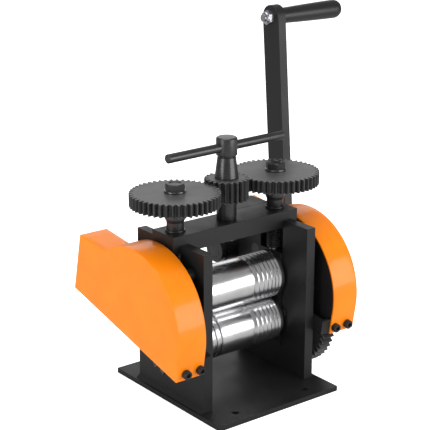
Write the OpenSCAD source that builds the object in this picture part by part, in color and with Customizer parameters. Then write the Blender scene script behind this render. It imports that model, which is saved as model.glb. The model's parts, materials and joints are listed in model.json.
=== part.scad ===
// Jewellers rolling mill, turned by a hand crank through a gear train, with a geared adjuster on top.
// +X runs along the rolls towards the crank, +Y to the rear, +Z up. Millimetres.
// The origin is the centre of the base plate's underside.

/* [Base plate] */
// Thickness of the base plate
base_t = 5; // [4:0.5:8]
// How far the base plate reaches past each cheek at the sides
base_side_margin = 5.5; // [5:0.5:7]
// How far the base plate reaches past the cheeks at the front and at the rear
base_end_margin = 30.6; // [28:0.2:45]
// Diameter of the four bench bolt holes
base_hole_d = 6.5; // [5:0.5:9]
// Distance from a bench bolt hole to the plate's left or right edge
base_hole_side = 29.5; // [20:0.5:40]
// Distance from a bench bolt hole to the plate's front or rear edge
base_hole_end = 14; // [10:0.5:18]

/* [Side cheeks] */
// Distance between the two cheeks
gap_w = 112; // [106:1:120]
// Thickness of a cheek
cheek_t = 10; // [9:0.5:12]
// Depth of a cheek, front to rear
cheek_d = 102.8; // [98:0.2:106]
// Height of the cheeks above the upper roll's axis when the rolls are closed
cheek_h = 57; // [54:0.5:64]
// Width of the open slot that holds the bearing blocks
slot_w = 33; // [32:0.5:36]
// Width of the weld along the foot of a cheek
weld_w = 4; // [3:0.5:5]

/* [Top beam] */
// Height of the beam that joins the cheeks
beam_h = 16.6; // [14:0.2:20]
// How far the beam sits down between the posts
beam_drop = 7.5; // [5:0.5:10]
// How far the beam reaches past each cheek
beam_overhang = 7.6; // [4:0.2:9]

/* [Rear shelf] */
// Width of the plain shelf behind the beam
shelf_w = 50; // [30:1:54]
// Depth of the shelf, from the beam to its rear edge
shelf_d = 28; // [15:1:34]
// Thickness of the shelf's sheet
shelf_t = 3; // [2:0.5:4]
// Distance from the shelf's right edge to the mill's centre
shelf_right = 66; // [54:1:70]

/* [Rolls] */
// Diameter of a roll
roll_d = 45.5; // [44:0.5:47]
// Gap between the closed rolls
roll_gap = 0.5; // [0.2:0.1:1]
// Height of the lower roll's axis above the base plate
roll_axis_h = 50; // [50:0.5:52]
// Gap between a roll's end and a cheek
roll_end_gap = 2; // [1.5:0.5:4]
// Diameter of the journals that run in the bushes
journal_d = 22; // [20:0.5:23]
// Diameter of the shaft ends that carry gears
shaft_end_d = 18; // [16:0.5:18]

/* [Roll grooves] */
// Number of square wire grooves on the crank side of both rolls
square_count = 7; // [3:1:7]
// Pitch of the widest square wire groove
square_pitch = 6; // [5:0.2:6.2]
// How much each next square wire groove is narrower
square_step = 0.4; // [0.2:0.1:0.6]
// Distance from the rolls' middle to the first square wire groove
square_start = 17; // [10:0.5:18]
// Number of half-round wire grooves at the other end of the lower roll
round_count = 6; // [2:1:6]
// Pitch of the widest half-round groove
round_pitch = 6.4; // [5:0.2:6.8]
// How much each next half-round groove is narrower
round_step = 0.6; // [0.3:0.1:0.8]
// Distance from the rolls' middle to the first half-round groove
round_start = 19.6; // [12:0.2:20]

/* [Bearing blocks] */
// From the lower roll's axis down to the block's foot
block_foot = 25.5; // [20:0.5:28]
// From the upper roll's axis up to the block's top
block_head = 24; // [20:0.5:25]
// Gap between the lower and the upper block when the rolls are closed
block_gap = 0.6; // [0.3:0.1:1.2]
// Wall of a bearing bush
bush_wall = 3; // [2:0.2:3.2]
// Travel of the upper roll
lift_max = 5; // [3:0.5:6]

/* [Adjuster] */
// Diameter of a pressing screw
screw_d = 16; // [14:0.5:17]
// Distance from a cheek's inner face to the axis of its pressing screw
screw_in = 3.5; // [3:0.5:5]
// Number of teeth on the gear of each pressing screw
screw_gear_teeth = 46; // [40:2:50]
// Number of teeth on the spindle's pinion
spindle_teeth = 22; // [18:2:26]
// Thickness of a pressing screw's gear
screw_gear_t = 12.5; // [8:0.5:14]
// Height of the screw gears above the beam when the rolls are closed
screw_gear_rise = 24.2; // [22:0.2:30]
// Length of the spindle's pinion
spindle_pinion_l = 20.7; // [18:0.3:24]
// Height of the spindle's pinion above the beam
spindle_column_h = 19.2; // [14:0.2:22]
// Diameter of the spindle's column and pinion seat
spindle_d = 19; // [14:0.5:20]
// Height of the spindle's tapered shank
shank_h = 20.2; // [16:0.2:30]
// Diameter of the tapered shank at its foot
shank_foot_d = 22.5; // [19:0.5:24]
// Diameter of the tapered shank at its top
shank_top_d = 17.4; // [14:0.2:19]
// Diameter of the spindle's head
head_d = 20; // [17:0.5:22]
// Height of the spindle's head
head_h = 17.6; // [14:0.2:24]
// Diameter of the cross bar
bar_d = 8.6; // [6:0.2:9]
// Length of the cross bar
bar_l = 139; // [100:1:160]

/* [Drive train] */
// Tooth module of the four drive gears
drive_module = 2; // [1.9:0.05:2.02]
// Number of teeth on the lower roll's drive gear
drive_teeth = 51; // [45:3:51]
// Number of teeth on the small gear of the cluster
cluster_small_teeth = 17; // [15:1:17]
// Number of teeth on the large gear of the cluster
cluster_large_teeth = 28; // [24:2:28]
// Number of teeth on the crank's pinion
crank_teeth = 14; // [12:1:14]
// Number of teeth on each of the gears that join the rolls
roll_gear_teeth = 12; // [10:2:14]
// Thickness of the drive gear and of the gears that join the rolls
drive_gear_t = 13; // [10:0.5:16]
// Thickness of the large gear of the cluster
cluster_large_t = 7; // [5:0.5:9]
// Diameter of the cluster's stud
stud_d = 12; // [10:0.5:12]
// Distance of the crank's axis behind the cheeks
crank_y = 14.6; // [14.2:0.2:15.6]
// Height of the crank's axis above the lower roll's axis
crank_rise = 55; // [54:0.5:56]
// Diameter of the crank's shaft
crank_shaft_d = 16; // [14:0.5:16]

/* [Covers] */
// Thickness of the covers' sheet
cover_t = 1.5; // [1:0.1:2]
// Radius of a cover's round top
cover_r = 72.2; // [72:0.2:74]
// Distance of the round top's centre behind the rolls
cover_y = 3.4; // [2:0.2:4]
// Height of the round top's centre above the lower roll's axis
cover_rise = 31.2; // [31:0.2:32]
// Gap between a cheek and the black plate behind a cover
plate_gap = 11.2; // [10:0.2:14]
// Thickness of the black plates
plate_t = 3; // [2:0.5:4]

/* [Crank] */
// Distance from the crank's axis to the grip's axis
throw = 223.6; // [160:1:240]
// Lean of the crank to the rear, in degrees
crank_lean = 4.57; // [0:0.5:20]
// Width of the crank's arm
arm_w = 24; // [22:0.5:30]
// Thickness of the crank's arm
arm_t = 10; // [8:0.5:12]
// Length of the hub between the arm and the cover
hub_l = 13; // [8:0.5:20]
// Diameter of the hub
hub_d = 26; // [24:0.5:30]
// Length of the grip
grip_l = 79; // [70:1:100]
// Diameter of the grip next to the arm
grip_foot_d = 15.3; // [15:0.1:18]
// Diameter of the grip near its end
grip_end_d = 19; // [17:0.5:24]

/* [Hidden] */
$fn = 64;

// Clearances and the overrun of every cut
running = 0.05;      // radial clearance of a shaft that turns, and of a block that slides
seat = 0.02;         // radial clearance of a piece that is pressed or screwed home
side_clear = 0.3;    // gap beside a piece that turns or slides
over = 1;            // how far a cut runs past the material

// Colours
black_steel = [0.16, 0.16, 0.17];
black_gear = [0.2, 0.2, 0.21];
black_oxide = [0.1, 0.1, 0.11];
orange_coat = [0.95, 0.42, 0.08];
bright_steel = [0.8, 0.81, 0.83];
zinc = [0.7, 0.71, 0.72];
bronze = [0.72, 0.52, 0.26];
grip_plastic = [0.07, 0.07, 0.08];

// Main planes of the frame
cheek_in = gap_w / 2;
cheek_out = cheek_in + cheek_t;
base_w = 2 * (cheek_out + base_side_margin);
base_d = cheek_d + 2 * base_end_margin;
lower_z = base_t + roll_axis_h;
roll_centres = roll_d + roll_gap;
upper_z = lower_z + roll_centres;
post_top = upper_z + cheek_h;
beam_bottom = post_top - beam_drop;
beam_top = beam_bottom + beam_h;
beam_end = cheek_out + beam_overhang;

// Rolls and blocks
roll_end = cheek_in - roll_end_gap;
block_in = roll_end + side_clear;
block_w = slot_w - 2 * running;
block_mid = (lower_z + upper_z) / 2;
lower_block_z0 = lower_z - block_foot;
lower_block_z1 = block_mid - block_gap / 2;
upper_block_z0 = block_mid + block_gap / 2;
upper_block_z1 = upper_z + block_head;
bush_d = journal_d + 2 * bush_wall;
land_share = 0.2;    // flat land left between grooves, as a share of their pitch
round_groove_share = 0.8;    // width of a half-round groove, as a share of its pitch
roll_chamfer = 0.6;

// Springs that lift the upper blocks
spring_d = 4.6;
spring_wire = 0.9;
spring_pocket_d = 5.4;
spring_y_share = 0.67;    // place of a spring across the half slot
spring_depth = 8;
spring_x = (block_in + cheek_out) / 2;
spring_y = spring_y_share * slot_w / 2;

// Thrust pads and pressing screws
screw_x = cheek_in + screw_in;
pad_d = 2 * (screw_x - block_in);
pad_t = 2;
pad_pin_d = 5;
pad_pin_l = 4;
screw_foot_z = upper_block_z1 + pad_t + running;
adjust_module = 2 * screw_x / (screw_gear_teeth + spindle_teeth);
gear_z = beam_top + screw_gear_rise;
screw_collar_h = 15.5;
screw_collar_cone = 3.2;     // the collar's lowest part
screw_collar_rim = 3;        // how much wider the collar is than the screw
screw_seat_step = 1;
screw_seat_d = screw_d - 2 * screw_seat_step;
screw_neck_z = gear_z - screw_collar_h;
dust_ring_wall = 1.2;
dust_ring_h = 1.6;
dust_ring_clear = 0.2;
gear_bolt_d = 10;
gear_bolt_af = 17;
gear_bolt_head_h = 6.4;
gear_bolt_depth = 22;
gear_washer_d = 20;
gear_washer_t = 2;

// Spindle
spindle_bush_wall = 3;
spindle_step = 3.5;            // shoulder between the column and the journal
spindle_journal_d = spindle_d - 2 * spindle_step;
spindle_bush_floor = 2;      // beam left under the bush
spindle_bush_depth = beam_h - spindle_bush_floor;
spindle_clip_t = 3;
spindle_clip_wall = 3.5;
pinion_z = beam_top + spindle_column_h;
shank_z = pinion_z + spindle_pinion_l;
neck_h = 1.2;
neck_cut = 0.8;
head_z = shank_z + shank_h + neck_h;
head_chamfer = 1;
bar_sink = 0.6;              // how far the bar sits below the head's middle
bar_z = head_z + head_h / 2 - bar_sink;
bar_chamfer = 0.8;
bar_turn = 1.7;              // in degrees

// Planes outside the cheeks
plate_x = cheek_out + plate_gap;
plate_out = plate_x + plate_t;
gear_side_clear = 1.5;
gear_x = plate_out + gear_side_clear;
gear_out = gear_x + drive_gear_t;
cluster_side_clear = 0.8;
cluster_large_x = gear_out + cluster_side_clear;
cluster_out = cluster_large_x + cluster_large_t;
clip_t = 1;
stud_tip = 0.8;
stud_end = cluster_out + side_clear + clip_t + stud_tip;
cover_side_clear = 0.5;
cover_in_face = stud_end + cover_side_clear;
cover_out = cover_in_face + cover_t;
cover_lap = 0.5;             // how far the cover's rim laps past the black plate
cover_in = plate_x - cover_lap;

// The two gears that join the rolls, between the left cheek and its black plate
roll_gear_clear = 0.5;       // from the pressing screw to the gears
roll_gear_room = 1.2;        // from the gears to the black plate
roll_gear_x = screw_x + screw_d / 2 + roll_gear_clear;
roll_gear_out = plate_x - roll_gear_room;

// Gear hubs, shaft ends, keys and end screws of the rolls
hub_wall = 6;
roll_hub_d = shaft_end_d + 2 * hub_wall;
roll_hub_x = cheek_out + 2 * side_clear;
shaft_end_x = gear_out - side_clear;
left_shaft_end_x = roll_gear_out - side_clear;
key_w = 6;
key_h = 6;
key_end = 0.5;               // gear left past each end of its key
key_l = drive_gear_t - 2 * key_end;
key_x = gear_x + key_end - side_clear;
left_key_l = roll_gear_out - roll_gear_x - 2 * key_end;
left_key_x = roll_gear_x + key_end - side_clear;
end_bolt_d = 8;
end_bolt_af = 13;
end_bolt_head_h = 5.3;
end_bolt_depth = 18;
end_flange_d = 24;
end_flange_t = 2;
journal_out = cheek_out + side_clear;
journal_lip = side_clear;    // how far the journal runs on past the gear seat's start

// Places of the drive axes, seen from the crank side, as [y, z]
crank_z = lower_z + crank_rise;
roll_axis = [0, lower_z];
crank_axis = [cheek_d / 2 + crank_y, crank_z];
first_centres = drive_module * (drive_teeth + cluster_small_teeth) / 2;
second_centres = drive_module * (cluster_large_teeth + crank_teeth) / 2;
axis_span = norm(crank_axis - roll_axis);
axis_along = (first_centres^2 - second_centres^2 + axis_span^2) / (2 * axis_span);
axis_up = sqrt(first_centres^2 - axis_along^2);
axis_dir = (crank_axis - roll_axis) / axis_span;
stud_axis = roll_axis + axis_along * axis_dir + axis_up * [-axis_dir[1], axis_dir[0]];
first_angle = atan2(stud_axis[1] - roll_axis[1], stud_axis[0] - roll_axis[0]);
second_angle = atan2(crank_axis[1] - stud_axis[1], crank_axis[0] - stud_axis[0]);

// Gear teeth
train_angle = 25;            // pressure angle of the train and of the roll gears
adjust_angle = 20;           // pressure angle of the adjuster's gears
backlash_share = 0.03;       // thinning of each tooth, as a share of the module
root_share = 1.25;           // depth below the pitch circle, as a share of the module
tip_share = 1;               // height above the pitch circle, as a share of the module
long_tip_share = 1.1;        // the same for the long teeth that keep the rolls in mesh
long_root_share = 1.23;
roll_backlash_share = 0.045;
roll_module = roll_centres / roll_gear_teeth;

// Cluster and its stud
cluster_bush_wall = 2;
cluster_bush_d = stud_d + 2 * cluster_bush_wall;
stud_collar_d = 18;
stud_clip_wall = 2.2;
stud_groove = 0.8;

// Crank bracket, bush and shaft
bracket_w = 34;
bracket_screw_d = 6;
bracket_head_d = 10;
bracket_head_h = 6;
bracket_screw_off = 9;
bracket_root_up = 35;        // from the lower roll's axis up to the bracket's fixed end
bracket_root = [cheek_d / 2 - bracket_w / 2, lower_z + bracket_root_up];
bracket_bush_wall = 2;
bracket_boss_wall = 4;
bracket_boss_d = crank_shaft_d + 2 * bracket_bush_wall + 2 * bracket_boss_wall;
bracket_boss_back = 22;      // how far the boss reaches in behind the cheek
bracket_boss_in = cheek_out - bracket_boss_back;
bracket_boss_out = gear_out - side_clear;
crank_collar_l = 7;
crank_collar_d = 26;
crank_pinion_x = gear_out + side_clear;
crank_pinion_out = cluster_out + side_clear;
cover_hole_clear = 1.5;

// Outline of the covers, seen from the crank side, as [y, z]
cover_centre = [cover_y, lower_z + cover_rise];
foot_in = 4.9;               // the foot's front edge, behind the round top's foremost point
foot_down = 34.7;            // and below its centre
tail_drop = 8.9;             // the tail's rear top corner, below the round top's highest point
tail_top_out = 12.9;         // and behind its rearmost point
tail_bottom_out = 25.2;      // the tail's foot, behind the same point
tail_bottom_z = 6.2;         // and above the round top's centre
top_join_in = 29.6;          // where the tail's top edge leaves the round top, ahead of that point
foot_front = cover_r - foot_in;
tail_top_y = cover_r + tail_top_out;
tail_top_z = cover_r - tail_drop;
tail_bottom_y = cover_r + tail_bottom_out;
top_join_y = cover_r - top_join_in;
tail_run_in = 12;            // how far the tail's top edge runs on inside the round top
cover_foot = cover_centre + [-foot_front, -foot_down];
tail_top = cover_centre + [tail_top_y, tail_top_z];
tail_bottom = cover_centre + [tail_bottom_y, tail_bottom_z];
top_join = cover_centre + [top_join_y, sqrt(cover_r^2 - top_join_y^2)];
foot_span = norm(cover_foot - cover_centre);
foot_bearing = 180 + atan2(foot_down, foot_front);
foot_turn = foot_bearing - acos(cover_r / foot_span);
foot_dip = 0.15;             // how far inside the round top the front's line ends
foot_tangent = cover_centre + (cover_r - foot_dip) * [cos(foot_turn), sin(foot_turn)];
front_tilt = atan2(cover_foot[0] - foot_tangent[0], foot_tangent[1] - cover_foot[1]);
plate_inset = cover_t + side_clear;
plate_chord_gap = 1;

// Cover brackets and screws, measured along the cover's front
bracket_leg_t = 3.5;
bracket_leg_h = 14;
bracket_leg_down = 1;
bracket_side_l = 32;
bracket_side_t = 4;
cover_screw_d = 5;
cover_screw_head_d = 8.5;
cover_screw_head_h = 5;
cover_screw_l = 6.5;
cover_screw_up = 6.8;
cover_screw_side = 4.7;      // from the rim's inner edge to the first screw
cover_screw_gap = 15.5;      // between the two screws
cover_screw_xs = [cover_in + cover_screw_side, cover_in + cover_screw_side + cover_screw_gap];

// Black plates, spacers and screws
plate_slot_clear = 2;
plate_screw_d = 6;
plate_screw_csk_d = 11;
plate_screw_csk_h = 2.5;
plate_screw_bite = 8;
plate_screw_l = plate_gap + plate_t + plate_screw_bite;
plate_screw_y = 34;          // from the mill's middle to the plate screws
plate_screw_low = 37;        // from the lower roll's axis up to the low one
plate_screw_high = 81;       // and up to the high ones
spacer_d = 12;
plate_places = [[-plate_screw_y, lower_z + plate_screw_low],
    [-plate_screw_y, lower_z + plate_screw_high], [plate_screw_y, lower_z + plate_screw_high]];

// Leg of the rear shelf, and keepers of the lower blocks
shelf_leg_h = 12;
shelf_leg_inset = 4;
keeper_d = 4;
keeper_head_d = 8;
keeper_head_h = roll_end_gap - 2 * side_clear;
keeper_l = 6.5;
keeper_wall = 1;             // cheek left between a keeper's shank and the slot
keeper_up = 9;               // from the lower roll's axis up to the keepers
keeper_place = [-slot_w / 2 - keeper_wall - keeper_d / 2, lower_z + keeper_up];

// Crank arm, grip and its bolt
hub_clear = 1.7;
hub_x = cover_out + hub_clear;
arm_x = hub_x + hub_l;
arm_out = arm_x + arm_t;
grip_top = crank_axis + throw * [sin(crank_lean), cos(crank_lean)];
crank_flange_d = 22;
crank_flange_t = 2;
crank_bolt_d = 8;
crank_bolt_depth = 20;
grip_bolt_d = 8;
grip_head_d = 13;
grip_head_h = 8;
grip_head_sink = 3;
arm_foot_d = max(arm_w, hub_d);
grip_foot_x = arm_out + side_clear;
grip_far_x = grip_foot_x + grip_l;
grip_head_x = grip_far_x - grip_head_sink - grip_head_h;
grip_dome_h = 5;
grip_foot_round = 1.5;
grip_middle_share = 0.88;    // the grip's diameter half way, as a share of the one at its end
nut_af = 13;
nut_h = 8;
nut_lip_d = 11.5;
bolt_tip = 2;
socket_af_share = 0.5;       // width of a socket, as a share of its screw's head
socket_depth_share = 0.5;    // depth of a socket, as a share of its head's height
hex_corner_share = 0.46;     // width of a nut's or bolt's chamfer cone, as a share of its width

// Extrudes a flat outline drawn as [y, z] along X, from x0 over a length
module along_x(x0, length) {
    translate([x0, 0, 0]) rotate([90, 0, 90]) linear_extrude(length) children();
}

// Puts a shape that is drawn upright at the origin on an axis along X, at x0 and at [y, z]
module on_x(x0, place) {
    translate([x0, place[0], place[1]]) rotate([0, 90, 0]) children();
}

// A hexagonal head with its outer corners turned off, standing on z = 0
module hex_head(af, height) {
    intersection() {
        cylinder(d = af / cos(30), h = height, $fn = 6);
        cylinder(d1 = 2 * af, d2 = 2 * af * hex_corner_share, h = height);
    }
}

// A socket cap screw with its head on z >= 0 and its shank below, pointing up
module cap_screw(d, head_d, head_h, length) {
    difference() {
        union() {
            cylinder(d = head_d, h = head_h);
            translate([0, 0, -length]) cylinder(d = d - 2 * seat, h = length + head_h / 2);
        }
        translate([0, 0, head_h * (1 - socket_depth_share)])
            cylinder(d = head_d * socket_af_share / cos(30), h = head_h, $fn = 6);
    }
}

// Point of an involute flank at radius r, turned by start degrees, on the given side
function flank_point(base_r, r, start, side) =
    let (roll = sqrt(max(0, (r / base_r)^2 - 1)),
         turn = roll * 180 / PI - atan(roll),
         a = side * (start - turn))
    [r * cos(a), r * sin(a)];

// Outline of a spur gear with one tooth centred on +X: flanks are involutes in straight steps
module gear_outline(mod, teeth, pressure, tip, root, thin) {
    steps = 4;
    pitch_r = mod * teeth / 2;
    base_r = pitch_r * cos(pressure);
    tip_r = pitch_r + tip * mod;
    root_r = pitch_r - root * mod;
    low_r = max(base_r, root_r);
    half = 90 / teeth - thin * mod / pitch_r * 90 / PI;
    pitch_roll = tan(pressure);
    start = half + pitch_roll * 180 / PI - pressure;
    root_half = start;
    points = [for (i = [0 : teeth - 1]) let (turn = i * 360 / teeth)
        for (p = concat(
            [[root_r * cos(root_half), -root_r * sin(root_half)]],
            [for (k = [0 : steps]) flank_point(base_r, low_r + (tip_r - low_r) * k / steps, start, -1)],
            [for (k = [steps : -1 : 0]) flank_point(base_r, low_r + (tip_r - low_r) * k / steps, start, 1)],
            [[root_r * cos(root_half), root_r * sin(root_half)]]))
        [p[0] * cos(turn) - p[1] * sin(turn), p[0] * sin(turn) + p[1] * cos(turn)]];
    polygon(points);
}

// Outline of a cover, drawn in by inset, which runs a little past the open underside
module cover_outline(inset) {
    tail_slope = tail_top - top_join;
    tail_in = inset * [tail_slope[1], -tail_slope[0]] / norm(tail_slope);
    rear_slope = tail_bottom - tail_top;
    rear_in = inset * [rear_slope[1], -rear_slope[0]] / norm(rear_slope);
    front_in = inset * [cos(front_tilt), sin(front_tilt)];
    front_past = over * (cover_foot - foot_tangent) / norm(cover_foot - foot_tangent);
    rear_past = over * rear_slope / norm(rear_slope);
    translate(cover_centre) circle(r = cover_r - inset, $fn = 180);
    tail_root = top_join - tail_run_in * tail_slope / norm(tail_slope);
    polygon([foot_tangent + front_in, cover_foot + front_in + front_past,
        tail_bottom + rear_in + rear_past, tail_corner(inset), tail_root + tail_in, cover_centre]);
}

// Rear top corner of a cover's outline, drawn in square to both edges by inset
function tail_corner(inset) =
    let (u = (tail_top - top_join) / norm(tail_top - top_join),
         v = (tail_bottom - tail_top) / norm(tail_bottom - tail_top),
         bisect = (v - u) / norm(v - u),
         half = acos(u * v) / 2)
    tail_top + inset / cos(half) * bisect;

// Everything below the straight underside of a cover, raised by lift
module below_chord(lift) {
    chord = tail_bottom - cover_foot;
    beyond = chord / norm(chord) * foot_front;
    polygon([cover_foot - beyond + [0, lift], tail_bottom + beyond + [0, lift],
        [tail_bottom[0] + beyond[0], -cover_r], [cover_foot[0] - beyond[0], -cover_r]]);
}

// Puts shapes in the frame of a cover's front: local x is X, local y goes in, local z goes up
module at_front() {
    translate([0, cover_foot[0], cover_foot[1]]) rotate([front_tilt, 0, 0]) children();
}

// One cheek, on the crank side
module cheek() {
    difference() {
        union() {
            translate([cheek_in, -cheek_d / 2, base_t]) cube([cheek_t, cheek_d, post_top - base_t]);
            translate([cheek_out, cheek_d / 2, base_t]) rotate([90, 0, 0]) linear_extrude(cheek_d)
                polygon([[0, 0], [weld_w, 0], [0, weld_w]]);
        }
        translate([cheek_in - over, -slot_w / 2, lower_block_z0])
            cube([cheek_t + 2 * over, slot_w, post_top]);
        for (p = plate_places) on_x(cheek_out - plate_screw_bite, p)
            cylinder(d = plate_screw_d, h = plate_screw_bite + over);
        on_x(cheek_in - over, keeper_place) cylinder(d = keeper_d, h = keeper_l + over);
    }
}

module base_plate() {
    color(black_steel) difference() {
        translate([-base_w / 2, -base_d / 2, 0]) cube([base_w, base_d, base_t]);
        for (sx = [-1, 1], sy = [-1, 1])
            translate([sx * (base_w / 2 - base_hole_side), sy * (base_d / 2 - base_hole_end), -over])
                cylinder(d = base_hole_d, h = base_t + 2 * over);
    }
}

module left_cheek() {
    color(black_steel) mirror([1, 0, 0]) cheek();
}

module right_cheek() {
    color(black_steel) difference() {
        cheek();
        on_x(cheek_in - over, stud_axis) cylinder(d = stud_d, h = cheek_t + 2 * over);
        for (s = [-1, 1]) on_x(cheek_in - over, bracket_screw_place(s))
            cylinder(d = bracket_screw_d, h = cheek_t + 2 * over);
    }
}

module top_beam() {
    color(black_steel) difference() {
        translate([-beam_end, -slot_w / 2, beam_bottom]) cube([2 * beam_end, slot_w, beam_h]);
        for (s = [-1, 1]) translate([s * screw_x, 0, beam_bottom - over])
            cylinder(d = screw_d + 2 * running, h = beam_h + 2 * over);
        translate([0, 0, beam_bottom - over])
            cylinder(d = spindle_journal_d + 2 * running, h = beam_h + 2 * over);
        translate([0, 0, beam_top - spindle_bush_depth])
            cylinder(d = spindle_journal_d + 2 * spindle_bush_wall, h = beam_h);
    }
}

module rear_shelf() {
    color(black_steel) union() {
        translate([shelf_right - shelf_w, slot_w / 2, beam_top - shelf_t])
            cube([shelf_w, shelf_d, shelf_t]);
        translate([shelf_right - shelf_w + shelf_leg_inset, slot_w / 2, beam_top - shelf_leg_h])
            cube([min(shelf_right, cheek_in) - shelf_right + shelf_w - 2 * shelf_leg_inset, shelf_t,
                shelf_leg_h]);
    }
}

// A bearing block on the crank side, from z0 to z1, bored for its bush at bore_z
module block(z0, z1, bore_z) {
    difference() {
        translate([block_in, -block_w / 2, z0]) cube([cheek_out - block_in, block_w, z1 - z0]);
        on_x(block_in - over, [0, bore_z]) cylinder(d = bush_d, h = cheek_out - block_in + 2 * over);
    }
}

module lower_block() {
    difference() {
        block(lower_block_z0, lower_block_z1, lower_z);
        for (s = [-1, 1]) translate([spring_x, s * spring_y, lower_block_z1 - spring_depth])
            cylinder(d = spring_pocket_d, h = spring_depth + over);
        on_x(block_in - over, keeper_place)
            cylinder(d = keeper_head_d + 2 * side_clear, h = cheek_in - block_in + over);
    }
}

module upper_block() {
    difference() {
        block(upper_block_z0, upper_block_z1, upper_z);
        for (s = [-1, 1]) translate([spring_x, s * spring_y, upper_block_z0 - over])
            cylinder(d = spring_pocket_d, h = spring_depth + over);
        translate([screw_x, 0, upper_block_z1 - pad_pin_l - side_clear])
            cylinder(d = pad_pin_d + 2 * seat, h = pad_pin_l + side_clear + over);
    }
}

module lower_left_block() {
    color(black_steel) mirror([1, 0, 0]) lower_block();
}

module lower_right_block() {
    color(black_steel) lower_block();
}

module upper_left_block() {
    color(black_steel) mirror([1, 0, 0]) upper_block();
}

module upper_right_block() {
    color(black_steel) upper_block();
}

// The pair of bronze bushes at one height
module bushes(bore_z) {
    color(bronze) for (s = [0, 1]) mirror([s, 0, 0]) on_x(block_in, [0, bore_z]) difference() {
        cylinder(d = bush_d - 2 * seat, h = cheek_out - block_in);
        translate([0, 0, -over])
            cylinder(d = journal_d + 2 * running, h = cheek_out - block_in + 2 * over);
    }
}

module lower_bushes() {
    bushes(lower_z);
}

module upper_bushes() {
    bushes(upper_z);
}

module block_keepers() {
    color(black_oxide) for (s = [0, 1]) mirror([s, 0, 0])
        on_x(cheek_in, keeper_place) mirror([0, 0, 1])
            cap_screw(keeper_d, keeper_head_d, keeper_head_h, keeper_l);
}

module lift_springs() {
    spring_z = lower_block_z1 - spring_depth;
    spring_h = 2 * spring_depth + block_gap;
    color(zinc) for (sx = [-1, 1], sy = [-1, 1]) translate([sx * spring_x, sy * spring_y, spring_z])
        difference() {
            cylinder(d = spring_d, h = spring_h);
            translate([0, 0, -over]) cylinder(d = spring_d - 2 * spring_wire, h = spring_h + 2 * over);
        }
}

module thrust_pads() {
    color(bright_steel) for (s = [-1, 1]) translate([s * screw_x, 0, upper_block_z1]) union() {
        cylinder(d = pad_d, h = pad_t);
        translate([0, 0, -pad_pin_l]) cylinder(d = pad_pin_d, h = pad_pin_l + pad_t / 2);
    }
}

module dust_rings() {
    color(black_oxide) for (s = [-1, 1]) translate([s * screw_x, 0, beam_top]) difference() {
        cylinder(d = screw_d + 2 * dust_ring_clear + 2 * dust_ring_wall, h = dust_ring_h);
        translate([0, 0, -over])
            cylinder(d = screw_d + 2 * dust_ring_clear, h = dust_ring_h + 2 * over);
    }
}

module spindle_bush() {
    color(bronze) translate([0, 0, beam_top - spindle_bush_depth]) difference() {
        cylinder(d = spindle_journal_d + 2 * (spindle_bush_wall - seat), h = spindle_bush_depth);
        translate([0, 0, -over])
            cylinder(d = spindle_journal_d + 2 * running, h = spindle_bush_depth + 2 * over);
    }
}

// A black plate behind a cover, on the crank side, notched for the bracket and its screws
module back_plate() {
    difference() {
        along_x(plate_x, plate_t) difference() {
            cover_outline(plate_inset);
            below_chord(plate_chord_gap);
        }
        on_x(plate_x - over, roll_axis)
            cylinder(d = roll_hub_d + 2 * plate_slot_clear, h = plate_t + 2 * over);
        for (p = plate_places) {
            on_x(plate_x - over, p) cylinder(d = plate_screw_d + 2 * side_clear, h = plate_t + 2 * over);
            on_x(plate_out - plate_screw_csk_h, p)
                cylinder(d1 = plate_screw_d, d2 = plate_screw_csk_d, h = plate_screw_csk_h);
        }
        at_front() translate([plate_x - over, -over, -over])
            cube([plate_t + 2 * over, max(cover_screw_l, cover_t + bracket_leg_t) + side_clear + over,
                bracket_leg_down + bracket_leg_h + side_clear + over]);
    }
}

module left_back_plate() {
    slot_top = upper_z + lift_max;
    slot_room = roll_hub_d + 2 * plate_slot_clear;
    color(black_steel) mirror([1, 0, 0]) difference() {
        back_plate();
        translate([plate_x - over, -slot_room / 2, lower_z])
            cube([plate_t + 2 * over, slot_room, slot_top - lower_z]);
        on_x(plate_x - over, [0, slot_top]) cylinder(d = slot_room, h = plate_t + 2 * over);
    }
}

module right_back_plate() {
    color(black_steel) difference() {
        back_plate();
        on_x(plate_x - over, stud_axis)
            cylinder(d = stud_collar_d + 2 * plate_slot_clear, h = plate_t + 2 * over);
        on_x(plate_x - over, crank_axis)
            cylinder(d = bracket_boss_d + 2 * side_clear, h = plate_t + 2 * over);
    }
}

module plate_spacers() {
    color(black_steel) for (s = [0, 1], p = plate_places) mirror([s, 0, 0]) on_x(cheek_out, p)
        difference() {
            cylinder(d = spacer_d, h = plate_gap);
            translate([0, 0, -over])
                cylinder(d = plate_screw_d + 2 * side_clear, h = plate_gap + 2 * over);
        }
}

module plate_screws() {
    color(black_oxide) for (s = [0, 1], p = plate_places) mirror([s, 0, 0])
        on_x(plate_out - plate_screw_l, p) difference() {
            union() {
                cylinder(d = plate_screw_d - 2 * seat, h = plate_screw_l);
                translate([0, 0, plate_screw_l - plate_screw_csk_h])
                    cylinder(d1 = plate_screw_d - 2 * seat, d2 = plate_screw_csk_d - 2 * seat,
                        h = plate_screw_csk_h);
            }
            translate([0, 0, plate_screw_l - plate_screw_csk_h * socket_depth_share])
                cylinder(d = plate_screw_d * socket_af_share / cos(30), h = plate_screw_csk_h, $fn = 6);
        }
}

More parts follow.
